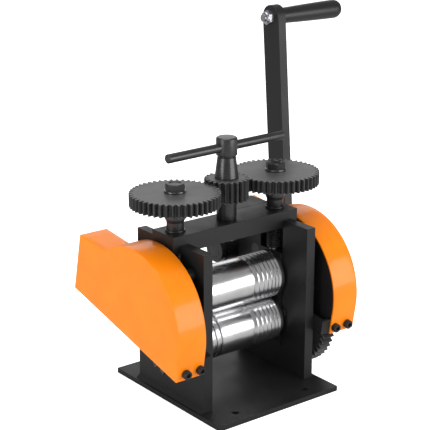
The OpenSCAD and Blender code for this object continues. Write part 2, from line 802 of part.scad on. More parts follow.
module cover_brackets() {
    color(black_steel) for (s = [0, 1]) mirror([s, 0, 0]) difference() {
        union() {
            at_front() translate([cheek_out, cover_t, bracket_leg_down])
                cube([cover_in_face - cheek_out - cover_side_clear, bracket_leg_t, bracket_leg_h]);
            at_front() translate([cheek_out, cover_t, bracket_leg_down])
                cube([bracket_side_t, bracket_side_l, bracket_leg_h]);
        }
        for (x = cover_screw_xs) at_front() translate([x, 0, cover_screw_up]) rotate([-90, 0, 0])
            cylinder(d = cover_screw_d, h = cover_t + bracket_leg_t + over);
    }
}

// An open-bottomed cover on the crank side
module cover() {
    difference() {
        along_x(cover_in, cover_out - cover_in) difference() {
            cover_outline(0);
            below_chord(0);
        }
        along_x(cover_in - over, cover_in_face - cover_in + over) cover_outline(cover_t);
        for (x = cover_screw_xs) at_front() translate([x, -over, cover_screw_up]) rotate([-90, 0, 0])
            cylinder(d = cover_screw_d + 2 * side_clear, h = cover_t + 2 * over);
    }
}

module left_cover() {
    color(orange_coat) mirror([1, 0, 0]) cover();
}

module right_cover() {
    color(orange_coat) difference() {
        cover();
        on_x(cover_in_face - over, crank_axis)
            cylinder(d = crank_shaft_d + 2 * cover_hole_clear, h = cover_t + 2 * over);
    }
}

module cover_screws() {
    color(black_oxide) for (s = [0, 1], x = cover_screw_xs) mirror([s, 0, 0])
        at_front() translate([x, 0, cover_screw_up]) rotate([90, 0, 0])
            cap_screw(cover_screw_d, cover_screw_head_d, cover_screw_head_h, cover_screw_l);
}

function bracket_dir() = (crank_axis - bracket_root) / norm(crank_axis - bracket_root);
function bracket_screw_place(s) =
    bracket_root + s * bracket_screw_off * [-bracket_dir()[1], bracket_dir()[0]];

module crank_bracket() {
    bar_l = norm(crank_axis - bracket_root);
    bar_tilt = atan2(bracket_dir()[1], bracket_dir()[0]);
    color(black_steel) difference() {
        union() {
            along_x(cheek_out, plate_gap) union() {
                translate(bracket_root) circle(d = bracket_w);
                translate(crank_axis) circle(d = bracket_w);
                translate(bracket_root) rotate([0, 0, bar_tilt])
                    translate([0, -bracket_w / 2]) square([bar_l, bracket_w]);
            }
            on_x(bracket_boss_in, crank_axis)
                cylinder(d = bracket_boss_d, h = bracket_boss_out - bracket_boss_in);
        }
        on_x(bracket_boss_in - over, crank_axis)
            cylinder(d = crank_shaft_d + 2 * bracket_bush_wall,
                h = bracket_boss_out - bracket_boss_in + 2 * over);
        for (s = [-1, 1]) {
            on_x(cheek_out - over, bracket_screw_place(s))
                cylinder(d = bracket_screw_d + 2 * side_clear, h = plate_gap + 2 * over);
            on_x(plate_x - bracket_head_h - side_clear, bracket_screw_place(s))
                cylinder(d = bracket_head_d + 2 * side_clear, h = bracket_head_h + over);
        }
    }
}

module bracket_screws() {
    color(black_oxide) for (s = [-1, 1])
        on_x(plate_x - bracket_head_h - side_clear, bracket_screw_place(s))
            cap_screw(bracket_screw_d, bracket_head_d, bracket_head_h,
                plate_gap - bracket_head_h - side_clear + cheek_t);
}

module crank_bush() {
    color(bronze) on_x(bracket_boss_in, crank_axis) difference() {
        cylinder(d = crank_shaft_d + 2 * (bracket_bush_wall - seat),
            h = bracket_boss_out - bracket_boss_in);
        translate([0, 0, -over]) cylinder(d = crank_shaft_d + 2 * running,
            h = bracket_boss_out - bracket_boss_in + 2 * over);
    }
}

module cluster_stud() {
    color(black_oxide) difference() {
        union() {
            on_x(cheek_in, stud_axis) cylinder(d = stud_d - 2 * seat, h = stud_end - cheek_in);
            on_x(cheek_out, stud_axis) cylinder(d = stud_collar_d, h = gear_x - side_clear - cheek_out);
        }
        on_x(cluster_out + side_clear, stud_axis) difference() {
            cylinder(d = stud_d + over, h = clip_t);
            translate([0, 0, -over]) cylinder(d = stud_d - 2 * stud_groove, h = clip_t + 2 * over);
        }
    }
}

module stud_clip() {
    color(zinc) on_x(cluster_out + side_clear, stud_axis) difference() {
        cylinder(d = stud_d + 2 * stud_clip_wall, h = clip_t);
        translate([0, 0, -over])
            cylinder(d = stud_d - 2 * (stud_groove - seat), h = clip_t + 2 * over);
    }
}

// A pressing screw with its collar and gear seat, at the crank side's place
module pressing_screw() {
    translate([screw_x, 0, 0]) difference() {
        union() {
            translate([0, 0, screw_foot_z]) cylinder(d = screw_d, h = screw_neck_z - screw_foot_z);
            translate([0, 0, screw_neck_z])
                cylinder(d1 = screw_d, d2 = screw_d + screw_collar_rim, h = screw_collar_cone);
            translate([0, 0, screw_neck_z + screw_collar_cone]) cylinder(d = screw_d + screw_collar_rim,
                h = screw_collar_h - screw_collar_cone);
            translate([0, 0, gear_z]) cylinder(d = screw_seat_d - 2 * seat, h = screw_gear_t - side_clear);
        }
        translate([0, 0, gear_z + screw_gear_t - gear_bolt_depth])
            cylinder(d = gear_bolt_d, h = gear_bolt_depth + over);
    }
}

// A pressing screw's gear, with a gap between teeth towards the spindle
module screw_gear() {
    translate([screw_x, 0, gear_z]) difference() {
        linear_extrude(screw_gear_t) rotate(180 + 180 / screw_gear_teeth)
            gear_outline(adjust_module, screw_gear_teeth, adjust_angle, tip_share, root_share,
                backlash_share);
        translate([0, 0, -over]) cylinder(d = screw_seat_d, h = screw_gear_t + 2 * over);
    }
}

module gear_washer() {
    translate([screw_x, 0, gear_z + screw_gear_t]) difference() {
        cylinder(d = gear_washer_d, h = gear_washer_t);
        translate([0, 0, -over]) cylinder(d = gear_bolt_d + 2 * side_clear, h = gear_washer_t + 2 * over);
    }
}

module gear_bolt() {
    translate([screw_x, 0, gear_z + screw_gear_t + gear_washer_t]) union() {
        hex_head(gear_bolt_af, gear_bolt_head_h);
        translate([0, 0, over - gear_bolt_depth - gear_washer_t])
            cylinder(d = gear_bolt_d - 2 * seat, h = gear_bolt_depth + gear_washer_t);
    }
}

module left_pressing_screw() {
    color(black_oxide) mirror([1, 0, 0]) pressing_screw();
}

module left_screw_gear() {
    color(black_gear) mirror([1, 0, 0]) screw_gear();
}

module left_gear_washer() {
    color(black_oxide) mirror([1, 0, 0]) gear_washer();
}

module left_gear_bolt() {
    color(black_oxide) mirror([1, 0, 0]) gear_bolt();
}

module right_pressing_screw() {
    color(black_oxide) pressing_screw();
}

module right_screw_gear() {
    color(black_gear) screw_gear();
}

module right_gear_washer() {
    color(black_oxide) gear_washer();
}

module right_gear_bolt() {
    color(black_oxide) gear_bolt();
}

// Distance from the first groove's edge to the edge of groove i, for a row that narrows steadily
function row_to(pitch, step, i) = i * pitch - step * i * (i - 1) / 2;

// Half outline of a roll barrel, [radius, x], with its square wire grooves on the crank side
module barrel_outline() {
    crest = roll_d / 2;
    grooves = [for (i = [0 : square_count - 1])
        let (p = square_pitch - i * square_step, a = square_start + row_to(square_pitch, square_step, i),
             w = p * (1 - land_share))
        for (q = [[crest, a], [crest - w / 2, a + w / 2], [crest, a + w]]) q];
    polygon(concat([[0, -roll_end], [crest - roll_chamfer, -roll_end], [crest, roll_chamfer - roll_end]],
        grooves,
        [[crest, roll_end - roll_chamfer], [crest - roll_chamfer, roll_end], [0, roll_end]]));
}

// A roll barrel with journals, centred on the origin and lying along X
module roll_body() {
    on_x(0, [0, 0]) rotate_extrude($fn = 128) barrel_outline();
    on_x(-journal_out - journal_lip, [0, 0])
        cylinder(d = journal_d, h = 2 * (journal_out + journal_lip));
}

// A gear seat on a shaft end that runs out to x_end
module gear_seat(x_end) {
    on_x(journal_out, [0, 0]) cylinder(d = shaft_end_d - 2 * seat, h = x_end - journal_out);
}

// A key of length l in a shaft end, from x0 outwards, made larger all round by clear
module key_box(x0, l, clear) {
    translate([x0 - clear, -key_w / 2 - clear, shaft_end_d / 2 - key_h / 2 - clear])
        cube([l + 2 * clear, key_w + 2 * clear, key_h + 2 * clear]);
}

// The tapped hole in a shaft end that lies at x_end
module end_bore(x_end) {
    on_x(x_end - end_bolt_depth, [0, 0]) cylinder(d = end_bolt_d, h = end_bolt_depth + over);
}

module upper_roll() {
    color(bright_steel) translate([0, 0, upper_z]) difference() {
        union() {
            roll_body();
            mirror([1, 0, 0]) gear_seat(left_shaft_end_x);
        }
        mirror([1, 0, 0]) key_box(left_key_x, left_key_l, seat);
        mirror([1, 0, 0]) end_bore(left_shaft_end_x);
        end_bore(journal_out + journal_lip);
    }
}

module lower_roll() {
    color(bright_steel) translate([0, 0, lower_z]) difference() {
        union() {
            roll_body();
            gear_seat(shaft_end_x);
            mirror([1, 0, 0]) gear_seat(left_shaft_end_x);
        }
        key_box(key_x, key_l, seat);
        end_bore(shaft_end_x);
        mirror([1, 0, 0]) key_box(left_key_x, left_key_l, seat);
        mirror([1, 0, 0]) end_bore(left_shaft_end_x);
        for (i = [0 : round_count - 1])
            let (p = round_pitch - i * round_step, w = p * round_groove_share)
            on_x(-round_start - row_to(round_pitch, round_step, i) - p / 2, [0, 0])
                rotate_extrude($fn = 96) translate([roll_d / 2, 0]) circle(d = w, $fn = 24);
    }
}

// A gear on a roll's shaft end, with a hub that ends at x_out, bored and keyed from x_key outwards
module hub_gear(x_out, x_key) {
    difference() {
        union() {
            children();
            on_x(roll_hub_x, [0, 0]) cylinder(d = roll_hub_d, h = x_out - roll_hub_x);
        }
        on_x(roll_hub_x - over, [0, 0])
            cylinder(d = shaft_end_d, h = x_out - roll_hub_x + 2 * over);
        on_x(roll_hub_x - over, [0, 0])
            cylinder(d = journal_d + 2 * side_clear,
                h = journal_out + journal_lip + side_clear - roll_hub_x + over);
        translate([x_key - seat, -key_w / 2 - seat, 0])
            cube([x_out - x_key + over, key_w + 2 * seat, shaft_end_d / 2 + key_h / 2 + seat]);
    }
}

// One of the two long-toothed gears that join the rolls, with a tooth at the given turn
module roll_gear(turn) {
    mirror([1, 0, 0]) hub_gear(roll_gear_out, left_key_x)
        along_x(roll_gear_x, roll_gear_out - roll_gear_x) rotate(turn)
        gear_outline(roll_module, roll_gear_teeth, train_angle, long_tip_share, long_root_share,
            roll_backlash_share);
}

module lower_roll_gear() {
    color(black_gear) translate([0, 0, lower_z]) roll_gear(90);
}

module upper_roll_gear() {
    color(black_gear) translate([0, 0, upper_z]) roll_gear(-90 + 180 / roll_gear_teeth);
}

module drive_gear() {
    color(black_gear) translate([0, 0, lower_z]) hub_gear(gear_out, key_x) along_x(gear_x, drive_gear_t)
        rotate(first_angle) gear_outline(drive_module, drive_teeth, train_angle, tip_share,
            root_share, backlash_share);
}

module upper_key() {
    color(zinc) translate([0, 0, upper_z]) mirror([1, 0, 0]) key_box(left_key_x, left_key_l, 0);
}

module lower_keys() {
    color(zinc) translate([0, 0, lower_z]) {
        key_box(key_x, key_l, 0);
        mirror([1, 0, 0]) key_box(left_key_x, left_key_l, 0);
    }
}

// A flanged hexagon screw in the end of a shaft, with its flange on x_face
module end_screw(x_face, flange_d, flange_t, bolt_d, depth) {
    on_x(x_face, [0, 0]) union() {
        cylinder(d = flange_d, h = flange_t);
        translate([0, 0, flange_t]) hex_head(end_bolt_af, end_bolt_head_h);
        translate([0, 0, -depth]) cylinder(d = bolt_d - 2 * seat, h = depth + flange_t / 2);
    }
}

module upper_end_screws() {
    color(black_oxide) translate([0, 0, upper_z]) {
        mirror([1, 0, 0]) end_screw(roll_gear_out, end_flange_d, end_flange_t, end_bolt_d,
            end_bolt_depth - over);
        end_screw(journal_out + journal_lip, journal_d + bush_wall, end_flange_t, end_bolt_d,
            end_bolt_depth - over);
    }
}

module lower_end_screws() {
    color(black_oxide) translate([0, 0, lower_z]) for (s = [0, 1]) mirror([s, 0, 0])
        end_screw(s == 0 ? gear_out : roll_gear_out, end_flange_d, end_flange_t, end_bolt_d,
            end_bolt_depth - over);
}

module cluster_gear() {
    color(black_gear) difference() {
        translate([0, stud_axis[0], stud_axis[1]]) union() {
            along_x(gear_x, cluster_large_x - gear_x)
                rotate(first_angle + 180 + 180 / cluster_small_teeth)
                gear_outline(drive_module, cluster_small_teeth, train_angle, tip_share,
                    root_share, backlash_share);
            along_x(cluster_large_x, cluster_large_t) rotate(second_angle)
                gear_outline(drive_module, cluster_large_teeth, train_angle, tip_share,
                    root_share, backlash_share);
        }
        on_x(gear_x - over, stud_axis)
            cylinder(d = cluster_bush_d, h = cluster_out - gear_x + 2 * over);
    }
}

module cluster_bush() {
    color(bronze) on_x(gear_x, stud_axis) difference() {
        cylinder(d = cluster_bush_d - 2 * seat, h = cluster_out - gear_x);
        translate([0, 0, -over])
            cylinder(d = stud_d - 2 * seat + 2 * running, h = cluster_out - gear_x + 2 * over);
    }
}

module crank_shaft() {
    shaft_in = bracket_boss_in - side_clear - crank_collar_l;
    color(black_oxide) on_x(shaft_in, crank_axis) difference() {
        cylinder(d = crank_shaft_d, h = arm_out - side_clear - shaft_in);
        translate([0, 0, arm_out - side_clear - shaft_in - crank_bolt_depth])
            cylinder(d = crank_bolt_d, h = crank_bolt_depth + over);
    }
}

module crank_pinion() {
    color(black_gear) difference() {
        translate([0, crank_axis[0], crank_axis[1]])
            along_x(crank_pinion_x, crank_pinion_out - crank_pinion_x)
            rotate(second_angle + 180 + 180 / crank_teeth)
            gear_outline(drive_module, crank_teeth, train_angle, tip_share, root_share,
                backlash_share);
        on_x(crank_pinion_x - over, crank_axis)
            cylinder(d = crank_shaft_d + 2 * seat, h = crank_pinion_out - crank_pinion_x + 2 * over);
    }
}

module crank_collar() {
    color(black_oxide) on_x(bracket_boss_in - side_clear - crank_collar_l, crank_axis) difference() {
        cylinder(d = crank_collar_d, h = crank_collar_l);
        translate([0, 0, -over])
            cylinder(d = crank_shaft_d + 2 * seat, h = crank_collar_l + 2 * over);
    }
}

module crank_arm() {
    color(black_steel) difference() {
        union() {
            along_x(arm_x, arm_t) union() {
                translate(crank_axis) circle(d = arm_foot_d);
                translate(grip_top) circle(d = arm_w);
                translate(crank_axis) rotate([0, 0, 90 - crank_lean])
                    translate([0, -arm_w / 2]) square([throw, arm_w]);
            }
            on_x(hub_x, crank_axis) cylinder(d = hub_d, h = hub_l + arm_t);
        }
        on_x(hub_x - over, crank_axis)
            cylinder(d = crank_shaft_d + 2 * seat, h = hub_l + arm_t + 2 * over);
        on_x(arm_x - over, grip_top) cylinder(d = grip_bolt_d, h = arm_t + 2 * over);
    }
}

module crank_end_screw() {
    color(black_oxide) translate([0, crank_axis[0], crank_axis[1]])
        end_screw(arm_out, crank_flange_d, crank_flange_t, crank_bolt_d, crank_bolt_depth - over);
}

module grip_bolt() {
    bolt_in = arm_x - nut_h - bolt_tip;
    color(bright_steel) on_x(grip_head_x, grip_top)
        cap_screw(grip_bolt_d, grip_head_d, grip_head_h, grip_head_x - bolt_in);
}

module grip_nut() {
    color(zinc) on_x(arm_x, grip_top) mirror([0, 0, 1]) difference() {
        union() {
            hex_head(nut_af, nut_h - bolt_tip);
            cylinder(d = nut_lip_d, h = nut_h);
        }
        translate([0, 0, -over]) cylinder(d = grip_bolt_d, h = nut_h + 2 * over);
    }
}

module grip() {
    dome_steps = 8;
    r0 = grip_foot_d / 2;
    r1 = grip_end_d / 2;
    dome = [for (k = [0 : dome_steps]) let (a = 90 * k / dome_steps)
        [(r1 - grip_head_d / 2) * cos(a) + grip_head_d / 2, grip_l - grip_dome_h * (1 - sin(a))]];
    color(grip_plastic) on_x(grip_foot_x, grip_top) difference() {
        rotate_extrude($fn = 96) polygon(concat([[0, 0], [r0 - grip_foot_round, 0], [r0, grip_foot_round],
            [r1 * grip_middle_share, grip_l / 2]], dome, [[0, grip_l]]));
        translate([0, 0, -over])
            cylinder(d = grip_bolt_d + 2 * running, h = grip_l + 2 * over);
        translate([0, 0, grip_head_x - grip_foot_x - side_clear])
            cylinder(d = grip_head_d + 2 * side_clear, h = grip_l);
    }
}

module spindle() {
    color(black_oxide) difference() {
        union() {
            translate([0, 0, beam_bottom - side_clear - spindle_clip_t])
                cylinder(d = spindle_journal_d, h = beam_h + side_clear + spindle_clip_t + over);
            translate([0, 0, beam_top + running])
                cylinder(d = spindle_d, h = spindle_column_h - running + spindle_pinion_l);
            translate([0, 0, shank_z]) cylinder(d1 = shank_foot_d, d2 = shank_top_d, h = shank_h);
            translate([0, 0, shank_z + shank_h])
                cylinder(d = shank_top_d - 2 * neck_cut, h = neck_h);
            translate([0, 0, head_z])
                cylinder(d1 = head_d - 2 * head_chamfer, d2 = head_d, h = head_chamfer);
            translate([0, 0, head_z + head_chamfer]) cylinder(d = head_d, h = head_h - 2 * head_chamfer);
            translate([0, 0, head_z + head_h - head_chamfer])
                cylinder(d1 = head_d, d2 = head_d - 2 * head_chamfer, h = head_chamfer);
        }
        rotate([0, 0, bar_turn]) on_x(-head_d, [0, bar_z])
            cylinder(d = bar_d + 2 * seat, h = 2 * head_d);
    }
}

module spindle_pinion() {
    color(black_gear) translate([0, 0, pinion_z]) difference() {
        linear_extrude(spindle_pinion_l)
            gear_outline(adjust_module, spindle_teeth, adjust_angle, tip_share, root_share,
                backlash_share);
        translate([0, 0, -over]) cylinder(d = spindle_d + 2 * seat, h = spindle_pinion_l + 2 * over);
    }
}

module cross_bar() {
    color(black_oxide) rotate([0, 0, bar_turn]) on_x(-bar_l / 2, [0, bar_z]) union() {
        cylinder(d1 = bar_d - 2 * bar_chamfer, d2 = bar_d, h = bar_chamfer);
        translate([0, 0, bar_chamfer]) cylinder(d = bar_d, h = bar_l - 2 * bar_chamfer);
        translate([0, 0, bar_l - bar_chamfer])
            cylinder(d1 = bar_d, d2 = bar_d - 2 * bar_chamfer, h = bar_chamfer);
    }
}

module spindle_clip() {
    color(zinc) translate([0, 0, beam_bottom - side_clear - spindle_clip_t]) difference() {
        cylinder(d = spindle_journal_d + 2 * spindle_clip_wall, h = spindle_clip_t);
        translate([0, 0, -over])
            cylinder(d = spindle_journal_d + 2 * seat, h = spindle_clip_t + 2 * over);
    }
}

base_plate();
left_cheek();
right_cheek();
top_beam();
rear_shelf();
lower_left_block();
lower_right_block();
lower_bushes();
block_keepers();
lift_springs();
dust_rings();
spindle_bush();
left_back_plate();
right_back_plate();
plate_spacers();
plate_screws();
cover_brackets();
left_cover();
right_cover();
cover_screws();
crank_bracket();
bracket_screws();
crank_bush();
cluster_stud();
stud_clip();
upper_left_block();
upper_right_block();
upper_bushes();
thrust_pads();
left_pressing_screw();
left_screw_gear();
left_gear_washer();
left_gear_bolt();
right_pressing_screw();
right_screw_gear();
right_gear_washer();
right_gear_bolt();
upper_roll();
upper_roll_gear();
upper_key();
upper_end_screws();
lower_roll();
lower_roll_gear();
drive_gear();
lower_keys();
lower_end_screws();
cluster_gear();
cluster_bush();
crank_shaft();
crank_pinion();
crank_collar();
crank_arm();
crank_end_screw();
grip_bolt();
grip_nut();
grip();
spindle();
spindle_pinion();
cross_bar();
spindle_clip();
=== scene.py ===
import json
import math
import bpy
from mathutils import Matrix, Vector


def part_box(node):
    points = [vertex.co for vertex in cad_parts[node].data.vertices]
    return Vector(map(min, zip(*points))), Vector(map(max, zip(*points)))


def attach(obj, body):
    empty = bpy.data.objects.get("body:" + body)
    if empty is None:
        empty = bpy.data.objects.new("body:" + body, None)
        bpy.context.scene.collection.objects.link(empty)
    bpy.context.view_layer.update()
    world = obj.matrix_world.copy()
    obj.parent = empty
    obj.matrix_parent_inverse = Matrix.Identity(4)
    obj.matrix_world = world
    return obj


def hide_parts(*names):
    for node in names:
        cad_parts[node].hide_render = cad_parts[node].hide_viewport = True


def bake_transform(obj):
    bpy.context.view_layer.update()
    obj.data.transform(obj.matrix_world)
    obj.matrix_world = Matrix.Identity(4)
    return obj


bl_info = {
    "name": "Jewellers rolling mill",
    "version": (1, 0, 0),
    "blender": (4, 5, 0),
    "location": "View3D > Sidebar > Rolling mill",
    "description": "Dresses the mill's fixed frame with turned, cut, coated and polished pieces",
    "category": "Add Mesh",
}

import bmesh
import bpy
import numpy as np
from mathutils import Matrix, Vector

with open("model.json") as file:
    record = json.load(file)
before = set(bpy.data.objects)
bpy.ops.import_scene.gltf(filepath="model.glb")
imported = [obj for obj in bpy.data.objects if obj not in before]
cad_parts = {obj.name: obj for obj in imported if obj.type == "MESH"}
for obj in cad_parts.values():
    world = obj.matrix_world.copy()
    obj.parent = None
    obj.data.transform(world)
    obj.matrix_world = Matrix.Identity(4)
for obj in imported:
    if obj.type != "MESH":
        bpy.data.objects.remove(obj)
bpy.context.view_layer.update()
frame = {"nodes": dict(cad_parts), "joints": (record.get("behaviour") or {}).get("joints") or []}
PIVOTS = {j["name"]: np.array(j["pos_m"]) for j in frame["joints"] if "pos_m" in j}
MM = 0.001
FULL_TURN = 2 * math.pi

# Where the axes stand, from the joints
ROLL_LOW = PIVOTS["lower_roll_turn"][1:]
ROLL_HIGH = PIVOTS["upper_roll_turn"][1:]
STUD = PIVOTS["cluster_turn"][1:]
CRANK = PIVOTS["crank_turn"][1:]
GRIP = PIVOTS["grip_spin"][1:]
SCREW_X = PIVOTS["right_screw_turn"][0]


class MillColours(bpy.types.PropertyGroup):
    """Colours of the mill's finishes."""
    black_coat: bpy.props.FloatVectorProperty(
        name="Black coat", description="Satin powder coat of the frame", subtype="COLOR",
        default=(0.012, 0.012, 0.0125), min=0, max=1)
    orange_coat: bpy.props.FloatVectorProperty(
        name="Orange coat", description="Gloss powder coat of the covers", subtype="COLOR",
        default=(1.0, 0.242, 0.003), min=0, max=1)
    black_gear: bpy.props.FloatVectorProperty(
        name="Black gear", description="Oxide finish of the cut gears and the bought screws",
        subtype="COLOR", default=(0.04, 0.04, 0.041), min=0, max=1)
    # Painted light: the gears' turned faces are made lighter, standing in for the overhead lamp on
    # the adjuster gears' tops
    gear_face_light: bpy.props.FloatVectorProperty(
        name="Gear face", description="Oxide finish on the gears' turned faces", subtype="COLOR",
        default=(0.11, 0.11, 0.112), min=0, max=1)
    black_steel: bpy.props.FloatVectorProperty(
        name="Black steel", description="Oxide finish of the screws and the spindle",
        subtype="COLOR", default=(0.07, 0.07, 0.072), min=0, max=1)
    # Washer steel, and the painted highlight on the corners of the gear teeth
    washer_steel_and_highlight: bpy.props.FloatVectorProperty(
        name="Worn edge", description="Steel that shows at corners and on the washers",
        subtype="COLOR", default=(0.22, 0.22, 0.225), min=0, max=1)
    roll_steel: bpy.props.FloatVectorProperty(
        name="Roll steel", description="Polished steel of the rolls", subtype="COLOR",
        default=(0.83, 0.83, 0.84), min=0, max=1)
    ground_steel: bpy.props.FloatVectorProperty(
        name="Ground steel", description="The grip's bolt and the thrust pads", subtype="COLOR",
        default=(0.5, 0.5, 0.51), min=0, max=1)
    zinc: bpy.props.FloatVectorProperty(
        name="Zinc", description="Plating of the nut, keys, clips and springs", subtype="COLOR",
        default=(0.56, 0.57, 0.6), min=0, max=1)
    bronze: bpy.props.FloatVectorProperty(
        name="Bronze", description="The bearing bushes", subtype="COLOR",
        default=(0.56, 0.33, 0.13), min=0, max=1)
    grip: bpy.props.FloatVectorProperty(
        name="Grip", description="Moulded plastic of the grip", subtype="COLOR",
        default=(0.012, 0.012, 0.013), min=0, max=1)
    floor: bpy.props.FloatVectorProperty(
        name="Floor", description="The plain pale floor", subtype="COLOR",
        default=(0.9, 0.9, 0.9), min=0, max=1)


class MillSizes(bpy.types.PropertyGroup):
    """Small sizes of the finished pieces, in metres."""
    plate_round: bpy.props.FloatProperty(
        name="Plate rounding", description="Radius on the edges of the coated plates",
        default=0.6 * MM, min=0.1 * MM, max=1.5 * MM, unit="LENGTH")
    small_round: bpy.props.FloatProperty(
        name="Small rounding", description="Radius on the edges of small turned pieces",
        default=0.3 * MM, min=0.05 * MM, max=1 * MM, unit="LENGTH")
    tooth_ease: bpy.props.FloatProperty(
        name="Tooth ease", description="Chamfer along the edges of the gear teeth",
        default=0.35 * MM, min=0.1 * MM, max=0.6 * MM, unit="LENGTH")
    thread_pitch: bpy.props.FloatProperty(
        name="Thread pitch", description="Lead of a pressing screw",
        default=2 * MM, min=1 * MM, max=3 * MM, unit="LENGTH")
    thread_depth: bpy.props.FloatProperty(
        name="Thread depth", description="Depth of the pressing screws' thread",
        default=1.1 * MM, min=0.5 * MM, max=1.6 * MM, unit="LENGTH")
    sheet: bpy.props.FloatProperty(
        name="Cover sheet", description="Thickness of the covers' sheet",
        default=1.5 * MM, min=1 * MM, max=2 * MM, unit="LENGTH")
    sheet_bend: bpy.props.FloatProperty(
        name="Cover bend", description="Radius where a cover's rim meets its face",
        default=0.7 * MM, min=0.4 * MM, max=1.4 * MM, unit="LENGTH")
    square_pitch: bpy.props.FloatProperty(
        name="Square groove pitch", description="Pitch of the widest square wire groove",
        default=6 * MM, min=5 * MM, max=6.2 * MM, unit="LENGTH")
    round_pitch: bpy.props.FloatProperty(
        name="Round groove pitch", description="Pitch of the widest half-round groove",
        default=6.4 * MM, min=5 * MM, max=6.8 * MM, unit="LENGTH")


class MillStage(bpy.types.PropertyGroup):
    """The camera's place and lens, and the light."""
    azimuth: bpy.props.FloatProperty(
        name="Azimuth", description="Direction of the camera, from the front towards the left",
        default=math.radians(37.84), subtype="ANGLE")
    elevation: bpy.props.FloatProperty(
        name="Elevation", description="Height of the camera above the horizon",
        default=math.radians(17.76), subtype="ANGLE")
    roll: bpy.props.FloatProperty(
        name="Roll", description="Turn of the camera about its own axis",
        default=math.radians(0.08), subtype="ANGLE")
    place: bpy.props.FloatVectorProperty(
        name="Camera place", description="Where the camera stands", subtype="TRANSLATION",
        default=(-0.7591, -0.9598, 0.5622))
    focal_pixels: bpy.props.FloatProperty(
        name="Focal length", description="Focal length of the photograph, in its pixels",
        default=1371.08, min=100)
    frame_pixels: bpy.props.FloatProperty(
        name="Frame width", description="Width of the photograph, in pixels", default=430, min=1)
    world_level: bpy.props.FloatProperty(
        name="World level", description="Strength of the even light from all round",
        default=0.68, min=0, max=2)
    mirrored_level: bpy.props.FloatProperty(
        name="Mirrored level", description="Strength of the backdrop where glossy pieces show it",
        default=0.28, min=0, max=2)


def colours():
    """The colours in use."""
    return bpy.context.scene.mill_colours


def sizes():
    """The small sizes in use."""
    return bpy.context.scene.mill_sizes


# Shader node groups


def new_group(name, inputs, outputs):
    """An empty shader node group with a Vector input, float inputs with their defaults and float
    outputs; returns its tree and the sockets of its two end nodes."""
    tree = bpy.data.node_groups.new(name, "ShaderNodeTree")
    tree.interface.new_socket("Vector", in_out="INPUT", socket_type="NodeSocketVector")
    for socket, default in inputs.items():
        made = tree.interface.new_socket(socket, in_out="INPUT", socket_type="NodeSocketFloat")
        made.default_value = default
    for socket in outputs:
        tree.interface.new_socket(socket, in_out="OUTPUT", socket_type="NodeSocketFloat")
    return tree, tree.nodes.new("NodeGroupInput").outputs, tree.nodes.new("NodeGroupOutput").inputs


def feed(tree, socket, value):
    """Links another node's output to a socket, or sets the socket to a value."""
    if isinstance(value, bpy.types.NodeSocket):
        tree.links.new(value, socket)
    else:
        socket.default_value = value


def math_node(tree, operation, *values, clamp=False):
    """A Math node whose inputs are sockets or numbers; returns its output."""
    node = tree.nodes.new("ShaderNodeMath")
    node.operation = operation
    node.use_clamp = clamp
    for socket, value in zip(node.inputs, values):
        feed(tree, socket, value)
    return node.outputs[0]


def noise_node(tree, vector, scale, detail, roughness=0.5, dimensions="3D"):
    """A Noise Texture; returns its Factor output. In 1D the vector is the value W."""
    node = tree.nodes.new("ShaderNodeTexNoise")
    node.noise_dimensions = dimensions
    tree.links.new(vector, node.inputs["W" if dimensions == "1D" else "Vector"])
    for socket, value in (("Scale", scale), ("Detail", detail), ("Roughness", roughness)):
        feed(tree, node.inputs[socket], value)
    return node.outputs["Fac"]


def remap(tree, value, low, high, to_low, to_high):
    """A Map Range node; returns its Result output."""
    node = tree.nodes.new("ShaderNodeMapRange")
    for socket, v in zip(node.inputs, (value, low, high, to_low, to_high)):
        feed(tree, socket, v)
    return node.outputs[0]


def mixed(tree, factor, below, over):
    """A colour laid over another by a factor; what lies below may be another Mix node's result."""
    mix = tree.nodes.new("ShaderNodeMix")
    mix.data_type = "RGBA"
    tree.links.new(factor, mix.inputs["Factor"])
    feed(tree, mix.inputs["A"], below if isinstance(below, bpy.types.NodeSocket) else (*below, 1))
    mix.inputs["B"].default_value = (*over, 1)
    return mix.outputs["Result"]


def spread_out(tree, start, end, spread, value, low, high, tone):
    """Ends a group: its roughness goes from half a spread below to half a spread above as a value
    goes from low to high, and its tone from 0 to 1 as a slow noise goes from 0.3 to 0.7."""
    half = math_node(tree, "MULTIPLY", start[spread], 0.5)
    rough = [math_node(tree, way, start["Roughness"], half) for way in ("SUBTRACT", "ADD")]
    tree.links.new(remap(tree, value, low, high, *rough), end["Roughness"])
    tree.links.new(remap(tree, tone, 0.3, 0.7, 0.0, 1.0), end["Tone"])


def powder_group():
    """Powder coat: height is fine orange peel plus finer grain, and roughness drifts slowly."""
    tree, start, end = new_group(
        "powder_coat", {"Peel Scale": 700.0, "Roughness": 0.4, "Drift": 0.08},
        ("Height", "Roughness", "Tone"))
    peel = noise_node(tree, start["Vector"], start["Peel Scale"], detail=2)
    fine = math_node(tree, "MULTIPLY", start["Peel Scale"], 4.5)
    grain = noise_node(tree, start["Vector"], fine, detail=1)
    tree.links.new(math_node(tree, "MULTIPLY_ADD", grain, 0.35, peel), end["Height"])
    slow = noise_node(tree, start["Vector"], scale=38.0, detail=3)
    spread_out(tree, start, end, "Drift", slow, 0.3, 0.7, slow)
    return tree


